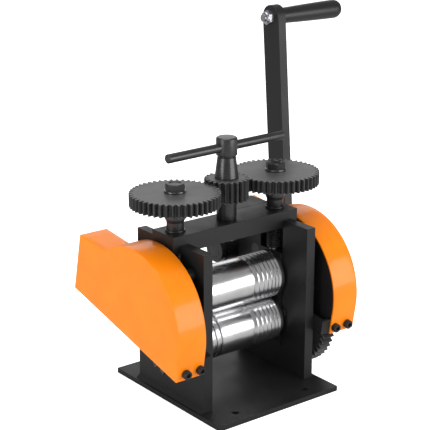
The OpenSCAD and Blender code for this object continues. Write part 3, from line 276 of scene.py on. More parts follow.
def turning_group():
    """Lathe marks round the local Z axis: a noise of the distance from it plus the height along it.

    On a face that is square to the axis the marks are rings, and on a cylinder they run round it.
    """
    tree, start, end = new_group(
        "turning_marks", {"Marks Scale": 2500.0, "Roughness": 0.3, "Spread": 0.1},
        ("Height", "Roughness", "Tone"))
    parts = tree.nodes.new("ShaderNodeSeparateXYZ")
    tree.links.new(start["Vector"], parts.inputs[0])
    squares = [math_node(tree, "MULTIPLY", parts.outputs[a], parts.outputs[a]) for a in "XY"]
    radius = math_node(tree, "SQRT", math_node(tree, "ADD", *squares))
    along = math_node(tree, "ADD", radius, parts.outputs["Z"])
    marks = noise_node(tree, along, start["Marks Scale"], detail=3, roughness=0.7, dimensions="1D")
    patches = noise_node(tree, start["Vector"], scale=60.0, detail=4, roughness=0.6)
    tree.links.new(marks, end["Height"])
    both = math_node(tree, "ADD", marks, patches)
    spread_out(tree, start, end, "Spread", both, 0.7, 1.3, patches)
    return tree


def edge_highlight_group():
    """Painted highlight along edges: the mesh's edge mask, broken up by a noise."""
    tree, start, end = new_group("edge_wear", {"Edge": 0.0, "Amount": 0.8}, ("Mask",))
    broken = noise_node(tree, start["Vector"], scale=420.0, detail=4, roughness=0.65)
    share = remap(tree, broken, 0.35, 0.6, 0.25, 1.0)
    mask = math_node(tree, "MULTIPLY", start["Edge"], share)
    tree.links.new(math_node(tree, "MULTIPLY", mask, start["Amount"], clamp=True), end["Mask"])
    return tree


# Materials


def principled(name, color, metallic, roughness):
    """A node material with its Principled BSDF, Texture Coordinate and Mapping nodes in place."""
    material = bpy.data.materials.new(name)
    material.use_nodes = True
    tree = material.node_tree
    shader = tree.nodes["Principled BSDF"]
    shader.inputs["Base Color"].default_value = (*color, 1)
    shader.inputs["Metallic"].default_value = metallic
    shader.inputs["Roughness"].default_value = roughness
    where = tree.nodes.new("ShaderNodeTexCoord")
    mapping = tree.nodes.new("ShaderNodeMapping")
    tree.links.new(where.outputs["Object"], mapping.inputs["Vector"])
    return material, shader, where, mapping


def add_group(tree, make, name, vector, **values):
    """Places a node group, made the first time it is asked for, feeds its vector and its named
    inputs, and returns its outputs."""
    node = tree.nodes.new("ShaderNodeGroup")
    node.node_tree = bpy.data.node_groups.get(name) or make()
    tree.links.new(vector, node.inputs["Vector"])
    for socket, value in values.items():
        feed(tree, node.inputs[socket.replace("_", " ").title()], value)
    return node.outputs


def add_finish(tree, shader, group, tone, depth):
    """Feeds the shader's colour from a tone, its roughness from a group's, and its normal from a
    bump of the group's height."""
    bump = tree.nodes.new("ShaderNodeBump")
    bump.inputs["Distance"].default_value = depth
    tree.links.new(group["Height"], bump.inputs["Height"])
    tree.links.new(bump.outputs["Normal"], shader.inputs["Normal"])
    tree.links.new(group["Roughness"], shader.inputs["Roughness"])
    tree.links.new(tone, shader.inputs["Base Color"])


def shaded(color, share):
    """A colour made lighter or darker by a share."""
    return tuple(min(1.0, c * share) for c in color)


def coat_material(name, color, roughness, drift, peel_scale, peel_depth, coat=0.0, gloss=0.5):
    """Powder coated steel: orange peel, slow drifts of roughness and tone, and at times a gloss
    coat over them."""
    if name in bpy.data.materials:
        return bpy.data.materials[name]
    material, shader, _, mapping = principled(name, color, 0.0, roughness)
    tree = material.node_tree
    group = add_group(tree, powder_group, "powder_coat", mapping.outputs["Vector"],
                      peel_scale=peel_scale, roughness=roughness, drift=drift)
    tone = mixed(tree, group["Tone"], shaded(color, 0.93), shaded(color, 1.05))
    add_finish(tree, shader, group, tone, peel_depth)
    shader.inputs["Specular IOR Level"].default_value = gloss
    shader.inputs["Coat Weight"].default_value = coat
    shader.inputs["Coat Roughness"].default_value = 0.12
    return material


def steel_material(name, color, centre, along, roughness, spread, marks_scale, marks_depth,
                   metallic=1.0, highlight_colour=None, face_light=None):
    """Turned or ground steel, with lathe marks round an axis through centre along X or Z.

    Where a highlight colour is given, the corners that the mesh marks as edges show it as a painted
    highlight. Where a face colour is given, the faces square to the axis show it as painted light:
    lighter faces that stand in for the overhead lamp on the gears' tops.
    """
    if name in bpy.data.materials:
        return bpy.data.materials[name]
    material, shader, where, mapping = principled(name, color, metallic, roughness)
    tree, vector = material.node_tree, mapping.outputs["Vector"]
    mapping.vector_type = "TEXTURE"
    mapping.inputs["Location"].default_value = centre
    mapping.inputs["Rotation"].default_value = (0, math.pi / 2 if along == "X" else 0, 0)
    group = add_group(tree, turning_group, "turning_marks", vector,
                      marks_scale=marks_scale, roughness=roughness, spread=spread)
    tone = mixed(tree, group["Tone"], shaded(color, 0.9), shaded(color, 1.1))
    if face_light is not None:
        # Painted light: faces square to the axis take the lighter face colour, standing in for the
        # overhead lamp on the gears' tops
        parts = tree.nodes.new("ShaderNodeSeparateXYZ")
        tree.links.new(where.outputs["Normal"], parts.inputs[0])
        square = math_node(tree, "ABSOLUTE", parts.outputs[along])
        tone = mixed(tree, remap(tree, square, 0.8, 0.95, 0.0, 1.0), tone, face_light)
    # Painted highlight: the corners marked as edges take the lighter colour
    if highlight_colour is not None:
        edge = tree.nodes.new("ShaderNodeAttribute")
        edge.attribute_name = "edge"
        highlight_mask = add_group(tree, edge_highlight_group, "edge_wear", vector, edge=edge.outputs["Fac"])
        tone = mixed(tree, highlight_mask["Mask"], tone, highlight_colour)
    add_finish(tree, shader, group, tone, marks_depth)
    return material


def black_coat():
    """Satin black powder coat of the frame."""
    return coat_material("black_powder", colours().black_coat, roughness=0.42, drift=0.1,
                         peel_scale=650.0, peel_depth=0.04 * MM, gloss=0.4)


def orange_coat():
    """Gloss orange powder coat of the covers."""
    return coat_material("orange_powder", colours().orange_coat, roughness=0.34, drift=0.08,
                         peel_scale=600.0, peel_depth=0.08 * MM, coat=0.45, gloss=0.15)


def black_gear(name, centre, along):
    """Black oxide on a cut gear: broad rings on its faces, painted light that makes those faces
    lighter than the teeth, and a painted highlight on the corners of its teeth.
    """
    return steel_material(f"black_gear_{name}", colours().black_gear, centre, along,
                          roughness=0.42, spread=0.12, marks_scale=1800.0, marks_depth=0.02 * MM,
                          metallic=0.35, highlight_colour=colours().washer_steel_and_highlight, face_light=colours().gear_face_light)


def black_oxide(name, centre, along):
    """Black oxide on a turned piece: fine marks and a satin gloss."""
    return steel_material(f"black_oxide_{name}", colours().black_steel, centre, along,
                          roughness=0.28, spread=0.1, marks_scale=3200.0, marks_depth=0.01 * MM,
                          metallic=0.75, highlight_colour=colours().washer_steel_and_highlight)


def black_screw(name, centre, along):
    """Darker black oxide of bought screws and bolts."""
    return steel_material(f"black_screw_{name}", colours().black_gear, centre, along,
                          roughness=0.3, spread=0.1, marks_scale=3200.0, marks_depth=0.01 * MM,
                          metallic=0.6)


def worn_oxide(name, centre, along):
    """Black oxide rubbed thin by use, with bare steel showing through."""
    return steel_material(f"worn_oxide_{name}", colours().washer_steel_and_highlight, centre, along,
                          roughness=0.25, spread=0.1, marks_scale=3200.0, marks_depth=0.01 * MM)


def roll_steel(name, centre):
    """Mirror polished roll: faint grinding lines round it."""
    return steel_material(f"roll_steel_{name}", colours().roll_steel, centre, "X",
                          roughness=0.24, spread=0.04, marks_scale=9000.0, marks_depth=0.0012 * MM)


def ground_steel(name, centre, along):
    """Ground shaft steel."""
    return steel_material(f"ground_steel_{name}", colours().ground_steel, centre, along,
                          roughness=0.25, spread=0.1, marks_scale=6000.0, marks_depth=0.003 * MM)


def zinc(name, centre, along):
    """Bright zinc plating with a faint cloudiness."""
    return steel_material(f"zinc_{name}", colours().zinc, centre, along,
                          roughness=0.27, spread=0.16, marks_scale=1200.0, marks_depth=0.004 * MM)


def bronze(name, centre, along):
    """Turned bronze of the bushes."""
    return steel_material(f"bronze_{name}", colours().bronze, centre, along,
                          roughness=0.34, spread=0.12, marks_scale=4000.0, marks_depth=0.006 * MM)


def grip_plastic():
    """Black moulded plastic with a fine spark-eroded grain."""
    return coat_material("moulded_plastic", colours().grip, roughness=0.34, drift=0.06,
                         peel_scale=1500.0, peel_depth=0.012 * MM)


# Points and meshes


def circle_angles(count):
    """Evenly spaced angles round a full turn, without the last one."""
    return np.arange(count) * FULL_TURN / count


def hexagon(across, angles, phase=0.0):
    """Radius of a regular hexagon, across its flats, at each angle; a corner lies at phase."""
    sector = np.mod(angles - phase, FULL_TURN / 6) - FULL_TURN / 12
    return across / 2 / np.cos(sector)


def rounded(corners, radius, steps=3):
    """Open polyline of [radius, height] with its inner corners rounded.

    Each corner is replaced by a quadratic curve between the two points that lie one cut before
    and after it, where a cut is the radius, or less than half of the shorter neighbouring edge.
    """
    corners = np.array(corners, float)
    before, at, after = corners[:-2], corners[1:-1], corners[2:]
    to_before, to_after = before - at, after - at
    long_before = np.linalg.norm(to_before, axis=1, keepdims=True)
    long_after = np.linalg.norm(to_after, axis=1, keepdims=True)
    cut = np.minimum(radius, 0.45 * np.minimum(long_before, long_after))
    start = at + to_before / long_before * cut
    stop = at + to_after / long_after * cut
    t = np.linspace(0, 1, steps + 1)[None, :, None]
    curve = ((1 - t) ** 2 * start[:, None] + 2 * t * (1 - t) * at[:, None] + t ** 2 * stop[:, None])
    return np.vstack([corners[:1], curve.reshape(-1, 2), corners[-1:]])


def grid_quads(rows, columns, wrap_rows=False, wrap_columns=True):
    """Corner numbers of the quads of a grid of points, closed in either direction if asked."""
    r = np.arange(rows if wrap_rows else rows - 1)
    c = np.arange(columns if wrap_columns else columns - 1)
    r, c = np.meshgrid(r, c, indexing="ij")
    r_next, c_next = (r + 1) % rows, (c + 1) % columns
    quads = np.stack([r * columns + c, r * columns + c_next,
                      r_next * columns + c_next, r_next * columns + c], axis=-1)
    return quads.reshape(-1, 4)


def upright(x=0.0, y=0.0):
    """Function that stands local points on the vertical axis at x, y."""
    return lambda points: points + np.array([x, y, 0])


def lying(axis, x=0.0):
    """Function that lays local points along X, from x: local x, y and height become y, z and x."""
    return lambda points: np.stack([points[:, 2] + x, points[:, 0] + axis[0],
                                    points[:, 1] + axis[1]], axis=1)


def mirrored(place):
    """A place's twin on the other side of the mill, mirrored in the plane X = 0."""
    return lambda points: place(points) * np.array([-1, 1, 1])


def linked(name, data):
    """A new object in the scene with this mesh, lamp or camera."""
    obj = bpy.data.objects.new(name, data)
    bpy.context.scene.collection.objects.link(obj)
    return obj


def make_object(name, points, quads, material, edge=None, smooth=30.0):
    """A mesh object from points and quads: doubles merged, normals outwards, edges sharp where
    faces meet at more than the smooth angle, in degrees. edge is a mask per point."""
    mesh = bpy.data.meshes.new(name)
    mesh.from_pydata(points.tolist(), [], quads.tolist())
    if edge is not None:
        mask = mesh.attributes.new("edge", "FLOAT", "POINT")
        mask.data.foreach_set("value", np.asarray(edge, np.float32))
    cleaned(mesh, 1e-6)
    mesh.materials.append(material)
    mesh.shade_smooth()
    mesh.set_sharp_from_angle(angle=math.radians(smooth))
    return linked(name, mesh)


def cleaned(mesh, distance, flat_angle=None):
    """Merges a mesh's doubles, joins its coplanar faces if asked, and turns its faces outwards."""
    work = bmesh.new()
    work.from_mesh(mesh)
    bmesh.ops.remove_doubles(work, verts=work.verts, dist=distance)
    bmesh.ops.dissolve_degenerate(work, dist=distance / 2, edges=work.edges)
    if flat_angle:
        bmesh.ops.dissolve_limit(work, angle_limit=flat_angle, verts=work.verts, edges=work.edges)
    bmesh.ops.recalc_face_normals(work, faces=work.faces)
    work.to_mesh(mesh)
    work.free()


def add_piece(obj, body, node):
    """Rides a piece on its body, and hides the node that it stands for."""
    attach(obj, body)
    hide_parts(node)


def place_piece(name, shape, places, material, body, node, smooth=30.0):
    """Makes a piece of one shape, once or at several places, and adds it to its body.

    The shape is points and quads, and maybe an edge mask. A place is a function that turns local
    points into world ones.
    """
    points, quads, *mask = shape
    points, quads = joined([(place(points), quads) for place in places])
    add_piece(make_object(name, points, quads, material, *mask, smooth=smooth), body, node)


def turned(profile, count=96):
    """Points and quads of a profile of [radius, height] carried round a full turn.

    Point (k, j) lies at profile[k]'s radius and height, at angle j. A radius or a height may be
    an array over the angles. The surface is closed, because the profile starts and ends on the
    axis, or ends where it started.
    """
    angles = circle_angles(count)
    rings = [np.stack([r * np.cos(angles), r * np.sin(angles), h + 0 * angles], axis=1)
             for r, h in profile]
    return np.vstack(rings), grid_quads(len(rings), count)


def joined(parts):
    """Several (points, quads) as one."""
    starts = np.cumsum([0] + [len(points) for points, _ in parts[:-1]])
    return (np.vstack([points for points, _ in parts]),
            np.vstack([quads + start for (_, quads), start in zip(parts, starts)]))


def bevelled(obj, angle, width, segments=2):
    """Adds a bevel to the edges where faces meet at more than an angle, in degrees."""
    bevel = obj.modifiers.new("Eased edges", "BEVEL")
    bevel.limit_method = "ANGLE"
    bevel.angle_limit = math.radians(angle)
    bevel.width = width
    bevel.segments = segments
    return bevel


def ease_node(node, material, width, body, segments=2):
    """Adds a copy of a CAD node with its loose triangles merged and its sharp edges rounded."""
    mesh = frame["nodes"][node].data.copy()
    mesh.name = f"{node}_finish"
    mesh.materials.clear()
    cleaned(mesh, 2e-6, flat_angle=math.radians(0.5))
    mesh.materials.append(material)
    for attribute in ("UVMap", "custom_normal"):
        if attribute in mesh.attributes:
            mesh.attributes.remove(mesh.attributes[attribute])
    mesh.shade_smooth()
    mesh.set_sharp_from_angle(angle=math.radians(28))
    obj = linked(mesh.name, mesh)
    bevelled(obj, 40, width, segments).harden_normals = True
    add_piece(obj, body, node)


# Gears


def tooth_outline(module, teeth, pressure, tip=1.0, root=1.25, thin=0.03, steps=6):
    """Outline of a spur gear as [x, y], with one tooth centred on +X.

    A flank is an involute of the base circle: at radius r its half angle is the half angle at
    the base less tan(a) - a, where cos(a) is the base radius over r. Each tooth is the same
    outline, turned by its share of the circle, and a point in the middle of each gap keeps the
    root round.
    """
    pitch_r = module * teeth / 2
    base_r = pitch_r * math.cos(pressure)
    root_r = pitch_r - root * module
    tip_r = pitch_r + tip * module
    low_r = max(base_r, root_r)
    half_pitch = math.pi / 2 / teeth - thin * module / pitch_r * math.pi / 2
    half_base = half_pitch + math.tan(pressure) - pressure
    r = np.linspace(low_r, tip_r, steps)
    unrolled = np.sqrt(np.maximum(0, (r / base_r) ** 2 - 1))
    half = half_base - (unrolled - np.arctan(unrolled))
    gap = math.pi / teeth
    angles = np.concatenate([[-half_base], -half, [0], half[::-1], [half_base], [gap]])
    radii = np.concatenate([[root_r], r, [tip_r], r[::-1], [root_r], [root_r]])
    turns = np.arange(teeth)[:, None] * FULL_TURN / teeth
    angles = (angles[None] + turns).ravel()
    radii = np.tile(radii, teeth)
    return np.stack([radii * np.cos(angles), radii * np.sin(angles)], axis=1)


def spun(outline, angle):
    """An outline turned by an angle."""
    c, s = math.cos(angle), math.sin(angle)
    return outline @ np.array([[c, s], [-s, c]])


def drawn_in(outline, distance):
    """An outline moved inwards, each point along the normal of its two neighbours' line."""
    along = np.roll(outline, -1, axis=0) - np.roll(outline, 1, axis=0)
    normal = np.stack([along[:, 1], -along[:, 0]], axis=1)
    return outline - distance * normal / np.linalg.norm(normal, axis=1, keepdims=True)


def gear_body(outline, section):
    """Points, quads and edge mask of a gear: its outline carried round a closed section.

    A section entry is (radius, inset, height, edge). Where radius is a number the ring is a
    circle, at the outline's own angles; where it is None, the outline drawn in by the inset.
    """
    angles = np.arctan2(outline[:, 1], outline[:, 0])
    circle = np.stack([np.cos(angles), np.sin(angles)], axis=1)
    rings, mask = [], []
    for radius, inset, height, edge in section:
        flat = drawn_in(outline, inset) if radius is None else circle * radius
        rings.append(np.column_stack([flat, np.full(len(flat), height)]))
        mask.append(np.full(len(flat), edge))
    quads = grid_quads(len(rings), len(outline), wrap_rows=True)
    return np.vstack(rings), quads, np.concatenate(mask)


def toothed_section(low, high, bore, low_hub=(), high_hub=()):
    """Section of a gear from bore to teeth and back: eased tooth edges between two flat faces."""
    ease = sizes().tooth_ease
    # Rings with edge 1 lie on the eased tooth edges and carry the painted highlight
    return [(bore, 0, low_hub[0][1] if low_hub else low, 0),
            *[(r, 0, h, 0) for r, h in low_hub],
            (None, 3 * ease, low, 0), (None, ease, low, 1), (None, 0, low + ease, 1),
            (None, 0, low + 2 * ease, 0), (None, 0, high - 2 * ease, 0),
            (None, 0, high - ease, 1), (None, ease, high, 1), (None, 3 * ease, high, 0),
            *[(r, 0, h, 0) for r, h in high_hub],
            (bore, 0, high_hub[-1][1] if high_hub else high, 0)]


def place_gear(name, outline, section, place, finish, body, node):
    """Makes a gear from its outline and section; finish is its material's name, centre and axis."""
    place_piece(name, gear_body(outline, section), [place], black_gear(*finish), body,
                node)


# Screws and other turned pieces


def socket_screw(diameter, head, height, length, socket, ease):
    """A socket cap screw on the local axis, with its head on z >= 0.

    The head's side is knurled: its radius falls and rises with the angle. The socket is a
    hexagon with a turned lead-in, and its floor is a shallow cone.
    """
    angles = circle_angles(96)
    knurl = 0.012 * head * (0.5 + 0.5 * np.cos(32 * angles))
    side = head / 2 - knurl
    wall = hexagon(socket, angles)
    mouth = socket / 2 / math.cos(math.pi / 6) + ease
    floor = 0.5 * height
    shank = diameter / 2
    return turned([(0, -length), (shank - ease, -length), (shank, -length + ease), (shank, 0),
                   (head / 2 - ease, 0), (side, ease), (side, height - 2 * ease),
                   (head / 2 - 0.3 * ease, height - 1.5 * ease),
                   (head / 2 - ease, height - 0.4 * ease), (head / 2 - 2 * ease, height),
                   (mouth, height), (wall, height - ease), (wall, floor),
                   (0.1 * socket, floor - 0.15 * socket), (0, floor - 0.16 * socket)])


def hex_head(across, height, dish, phase=0.0):
    """Profile of a hexagonal head from its foot to the middle of its top.

    Its corners are cut by a 30 degree cone, so the top edge of each flat is an arc, and the top
    is dished.
    """
    side = hexagon(across, circle_angles(96), phase)
    circle = 0.47 * across
    drop = np.maximum(0, side - circle) * math.tan(math.pi / 6)
    return [(side * 0.985, 0), (side, 0.04 * height), (side, height - drop - 0.02 * height),
            (circle, height), (0.8 * circle, height), (0.62 * circle, height - dish),
            (0, height - 1.1 * dish)]


def ring_profile(inner, outer, low, high, ease):
    """Closed profile of a ring with rounded corners on its outside."""
    return rounded([[inner, low], [outer, low], [outer, high], [inner, high], [inner, low]], ease)


def threaded(radius, low, high, pitch, depth, count=48, per_turn=10):
    """Points and quads of a threaded rod along the local axis.

    At angle a and height h the radius is the outer one less the depth times a rounded triangle
    wave of h / pitch - a / full turn, so the crest climbs one pitch in each turn. The ends run
    out to the root, and close on the axis.
    """
    rows = int((high - low) / pitch * per_turn)
    heights = np.linspace(low, high, rows)[:, None]
    angles = circle_angles(count)[None]
    phase = np.mod(heights / pitch - angles / FULL_TURN, 1)
    wave = np.clip(1.25 * np.abs(2 * phase - 1) - 0.12, 0, 1)
    fade = np.clip(np.minimum(heights - low, high - heights) / pitch, 0, 1)
    r = radius - depth * (1 - (1 - wave) * fade)
    points = np.stack([r * np.cos(angles), r * np.sin(angles), heights + 0 * angles], axis=-1)
    ends = [np.column_stack([np.zeros((count, 2)), np.full(count, h)]) for h in (low, high)]
    points = np.vstack([ends[0], points.reshape(-1, 3), ends[1]])
    return points, grid_quads(rows + 2, count)


def coil_spring(radius, wire, low, high, turns, count=10, per_turn=20):
    """Points and quads of a coil spring: a small circle carried along a helix.

    The helix climbs steadily but for its first and last turn, which lie closed, and both ends
    are capped by points on the helix itself.
    """
    steps = int(turns * per_turn)
    t = np.linspace(0, 1, steps)
    closed = 1 / turns
    climb = np.clip((t - closed) / (1 - 2 * closed), 0, 1)
    dead = np.clip(t / closed, 0, 1) + np.clip((t - 1 + closed) / closed, 0, 1)
    rise = high - low - 2 * wire
    heights = low + wire / 2 + dead * wire / 2 + climb * rise
    turn = t * turns * FULL_TURN
    out = np.stack([np.cos(turn), np.sin(turn), 0 * t], axis=1)
    centre = out * radius + np.column_stack([np.zeros((steps, 2)), heights])
    around = circle_angles(count)
    ring = (out[:, None] * np.cos(around)[None, :, None]
            + np.array([0, 0, 1]) * np.sin(around)[None, :, None]) * wire / 2
    body = (centre[:, None] + ring).reshape(-1, 3)
    points = np.vstack([np.repeat(centre[:1], count, axis=0), body,
                        np.repeat(centre[-1:], count, axis=0)])
    return points, grid_quads(steps + 2, count)


# Rolls


def groove_rows(crest, square_start, square_pitch, round_start, round_pitch, with_round):
    """Profile of a roll's barrel as [radius, x], with its two rows of wire grooves.

    A square wire groove is a right angled V, so its depth is half its width; each next one is
    0.4 mm narrower. A half-round groove is an arc of its own width; each next one is 0.6 mm
    narrower. A narrow land is left between them.
    """
    points = []
    square_count, square_step, round_count, round_step = 7, 0.4 * MM, 6, 0.6 * MM
    if with_round:
        place = round_start
        arcs = []
        for i in range(round_count):
            pitch = round_pitch - i * round_step
            half = 0.4 * pitch
            a = np.linspace(0, math.pi, 9)
            arcs.append(np.stack([crest - half * np.sin(a),
                                  -(place + pitch / 2) + half * np.cos(a)], axis=1))
            place += pitch
        points += [arc[::-1] for arc in arcs[::-1]]
    place = square_start
    for i in range(square_count):
        pitch = square_pitch - i * square_step
        wide = 0.8 * pitch
        corners = [[crest, place - 0.5 * MM], [crest, place], [crest - wide / 2, place + wide / 2],
                   [crest, place + wide], [crest, place + wide + 0.05 * MM]]
        points.append(rounded(corners, 0.18 * MM, 2)[1:-1])
        place += pitch
    return np.vstack(points)


def roll_profile(with_round, both_seats):
    """Whole profile of a roll, from the middle of one end to the middle of the other."""
    low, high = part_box("lower_roll")
    crest, barrel, journal, seat = 22.75 * MM, 54 * MM, 11 * MM, 8.98 * MM
    ease, journal_end, cone = 0.6 * MM, 66.6 * MM, 1.2 * MM
    square_start, round_start = 17 * MM, 19.6 * MM
    left = [[0, low.x], [seat - ease, low.x], [seat, low.x + ease], [seat, -journal_end],
            [journal, -journal_end], [journal, -barrel], [crest - cone, -barrel],
            [crest, ease - barrel]]
    right = [[crest, barrel - ease], [crest - cone, barrel], [journal, barrel],
             [journal, journal_end]]
    if both_seats:
        right += [[seat, journal_end], [seat, high.x - ease], [seat - ease, high.x], [0, high.x]]
    else:
        right += [[0, journal_end]]
    rows = groove_rows(crest, square_start, sizes().square_pitch, round_start,
                       sizes().round_pitch, with_round)
    plain_end = [[crest, rows[0, 1] - 1 * MM]]
    return np.vstack([rounded(left + [[crest, ease - barrel + 0.4 * MM]], 0.3 * MM, 2)[:-1],
                      plain_end, rows, right])


def make_rolls():
    """Both rolls, with their barrels, grooves, journals and gear seats."""
    for body, axis, with_round, both in (("lower_roll", ROLL_LOW, True, True),
                                         ("upper_roll", ROLL_HIGH, False, False)):
        place_piece(f"{body}_polished", turned(roll_profile(with_round, both), count=192),
                    [lying(axis)], roll_steel(body, (0, *axis)), body, body,
                    smooth=24)


# Adjuster


SCREW_TEETH, PINION_TEETH = 46, 22
ADJUST = {"module": 2 * SCREW_X / (SCREW_TEETH + PINION_TEETH), "pressure": math.radians(20)}
TRAIN = {"module": 2 * MM, "pressure": math.radians(25)}
ROLL_TEETH, DRIVE_TEETH, SMALL_TEETH, LARGE_TEETH, CRANK_TEETH = 12, 51, 17, 28, 14
ROLL_GEARS = {"module": (ROLL_HIGH[1] - ROLL_LOW[1]) / ROLL_TEETH, "pressure": math.radians(25),
              "tip": 1.1, "root": 1.23, "thin": 0.045}

# Side, place and centre of each pressing screw
SIDES = (("right", upright(SCREW_X), (SCREW_X, 0, 0)),
         ("left", mirrored(upright(SCREW_X)), (-SCREW_X, 0, 0)))


def make_screw_gears():
    """The two large gears on top of the pressing screws."""
    low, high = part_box("right_screw_gear")
    outline = spun(tooth_outline(teeth=SCREW_TEETH, **ADJUST), math.pi + math.pi / SCREW_TEETH)
    section = toothed_section(low.z, high.z, bore=7 * MM)
    for side, place, centre in SIDES:
        place_gear(f"{side}_adjuster_gear", outline, section, place,
                   (f"{side}_screw", centre, "Z"), f"{side}_screw", f"{side}_screw_gear")


def pressing_profile():
    """Profile of a pressing screw above its thread: rod, cone, collar and the gear's seat."""
    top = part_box("right_pressing_screw")[1].z
    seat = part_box("right_screw_gear")[0].z
    foot, neck = 164 * MM, seat - 15.5 * MM
    rod, collar, stem = 8 * MM, 9.5 * MM, 6.9 * MM
    return rounded([[0, foot], [rod - 0.8 * MM, foot], [rod, foot + 0.8 * MM], [rod, neck],
                    [collar, neck + 3.2 * MM], [collar, seat - 0.4 * MM],
                    [collar - 0.4 * MM, seat], [stem, seat], [stem, top], [0, top]], 0.3 * MM, 2)


def make_pressing_screws():
    """The two pressing screws: thread below, turned collar above."""
    rod = threaded(radius=7.95 * MM, low=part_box("right_pressing_screw")[0].z, high=165 * MM,
                   pitch=sizes().thread_pitch, depth=sizes().thread_depth)
    screw = joined([rod, turned(pressing_profile(), count=72)])
    for side, place, centre in SIDES:
        place_piece(f"{side}_threaded_screw", screw, [place],
                    black_oxide(f"{side}_screw", centre, "Z"), f"{side}_screw",
                    f"{side}_pressing_screw")


def make_gear_bolts():
    """Washers and hexagon bolts that hold the adjuster's gears."""
    low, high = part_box("right_gear_washer")
    washer = turned(ring_profile(5.4 * MM, 10 * MM, low.z, high.z, ease=0.45 * MM))
    seat, shank = high.z, 4.9 * MM
    low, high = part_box("right_gear_bolt")
    head = hex_head(across=17 * MM, height=high.z - seat, dish=0.7 * MM)
    bolt = turned([(0, low.z), (shank, low.z), (shank, seat)] + [(r, seat + h) for r, h in head])
    for side, place, centre in SIDES:
        place_piece(f"{side}_hex_bolt", bolt, [place], black_screw(f"{side}_bolt", centre, "Z"),
                    f"{side}_screw", f"{side}_gear_bolt", smooth=20)
        place_piece(f"{side}_washer", washer, [place], worn_oxide(f"{side}_washer", centre, "Z"),
                    f"{side}_screw", f"{side}_gear_washer")


def make_dust_rings():
    """Two rings round the pressing screws, on the beam."""
    low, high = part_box("dust_rings")
    inner, outer = 8.2 * MM, high.x - SCREW_X
    ring = turned(ring_profile(inner, outer, low.z, high.z, ease=0.4 * MM), count=72)
    place_piece("rounded_dust_rings", ring, [place for _, place, _ in SIDES],
                black_oxide("rings", (0, 0, 0), "Z"), "mill_frame", "dust_rings")


def spindle_profile():
    """Profile of the spindle: journal, column with the pinion's seat, tapered shank, neck and
    domed head."""
    low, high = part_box("spindle")
    beam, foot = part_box("top_beam")[1].z + 0.05 * MM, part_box("spindle_pinion")[1].z
    shank_top, head_foot = high.z - 18.8 * MM, high.z - 17.6 * MM
    journal, column, shank, neck, head = 6 * MM, 9.5 * MM, 11.25 * MM, 7.9 * MM, 10 * MM
    return rounded([[0, low.z], [journal - 0.6 * MM, low.z], [journal, low.z + 0.6 * MM],
                    [journal, beam], [column - 0.4 * MM, beam], [column, beam + 0.4 * MM],
                    [column, foot], [shank - 0.45 * MM, foot], [shank, foot + 0.5 * MM],
                    [shank - 0.25 * MM, foot + 2.4 * MM], [8.7 * MM, shank_top],
                    [neck, shank_top + 0.2 * MM], [neck, head_foot - 0.2 * MM],
                    [head - 1 * MM, head_foot], [head, head_foot + 1 * MM],
                    [head, high.z - 1.1 * MM], [head - 1.2 * MM, high.z], [0, high.z]], 0.3 * MM)


def make_spindle():
    """Spindle with tapered shank and head, and its pinion."""
    place_piece("turned_spindle", turned(spindle_profile()), [upright()],
                black_oxide("spindle", (0, 0, 0), "Z"), "t_handle", "spindle")
    low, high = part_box("spindle_pinion")
    place_gear("cut_spindle_pinion", tooth_outline(teeth=PINION_TEETH, **ADJUST),
               toothed_section(low.z, high.z, bore=9.5 * MM), upright(),
               ("spindle", (0, 0, 0), "Z"), "t_handle", "spindle_pinion")


def make_cross_bar():
    """Cross bar with chamfered, centre drilled ends, turned a little on the spindle."""
    low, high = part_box("cross_bar")
    half, radius, turn = 69.5 * MM, 4.3 * MM, math.radians(1.7)
    height = (low.z + high.z) / 2
    end = [[0, 1.1 * MM - half], [0.9 * MM, 0.1 * MM - half], [1.3 * MM, -half],
           [radius - 0.9 * MM, -half], [radius, 0.8 * MM - half]]
    profile = rounded(end + [[r, -x] for r, x in end[::-1]], 0.2 * MM)
    turning = np.array([[math.cos(turn), math.sin(turn), 0],
                        [-math.sin(turn), math.cos(turn), 0], [0, 0, 1]])
    across = lying((0, height))
    place_piece("turned_cross_bar", turned(profile, count=72),
                [lambda points: across(points) @ turning], black_oxide("bar", (0, 0, height), "X"),
                "t_handle", "cross_bar")


# Gears of the rolls and of the drive train


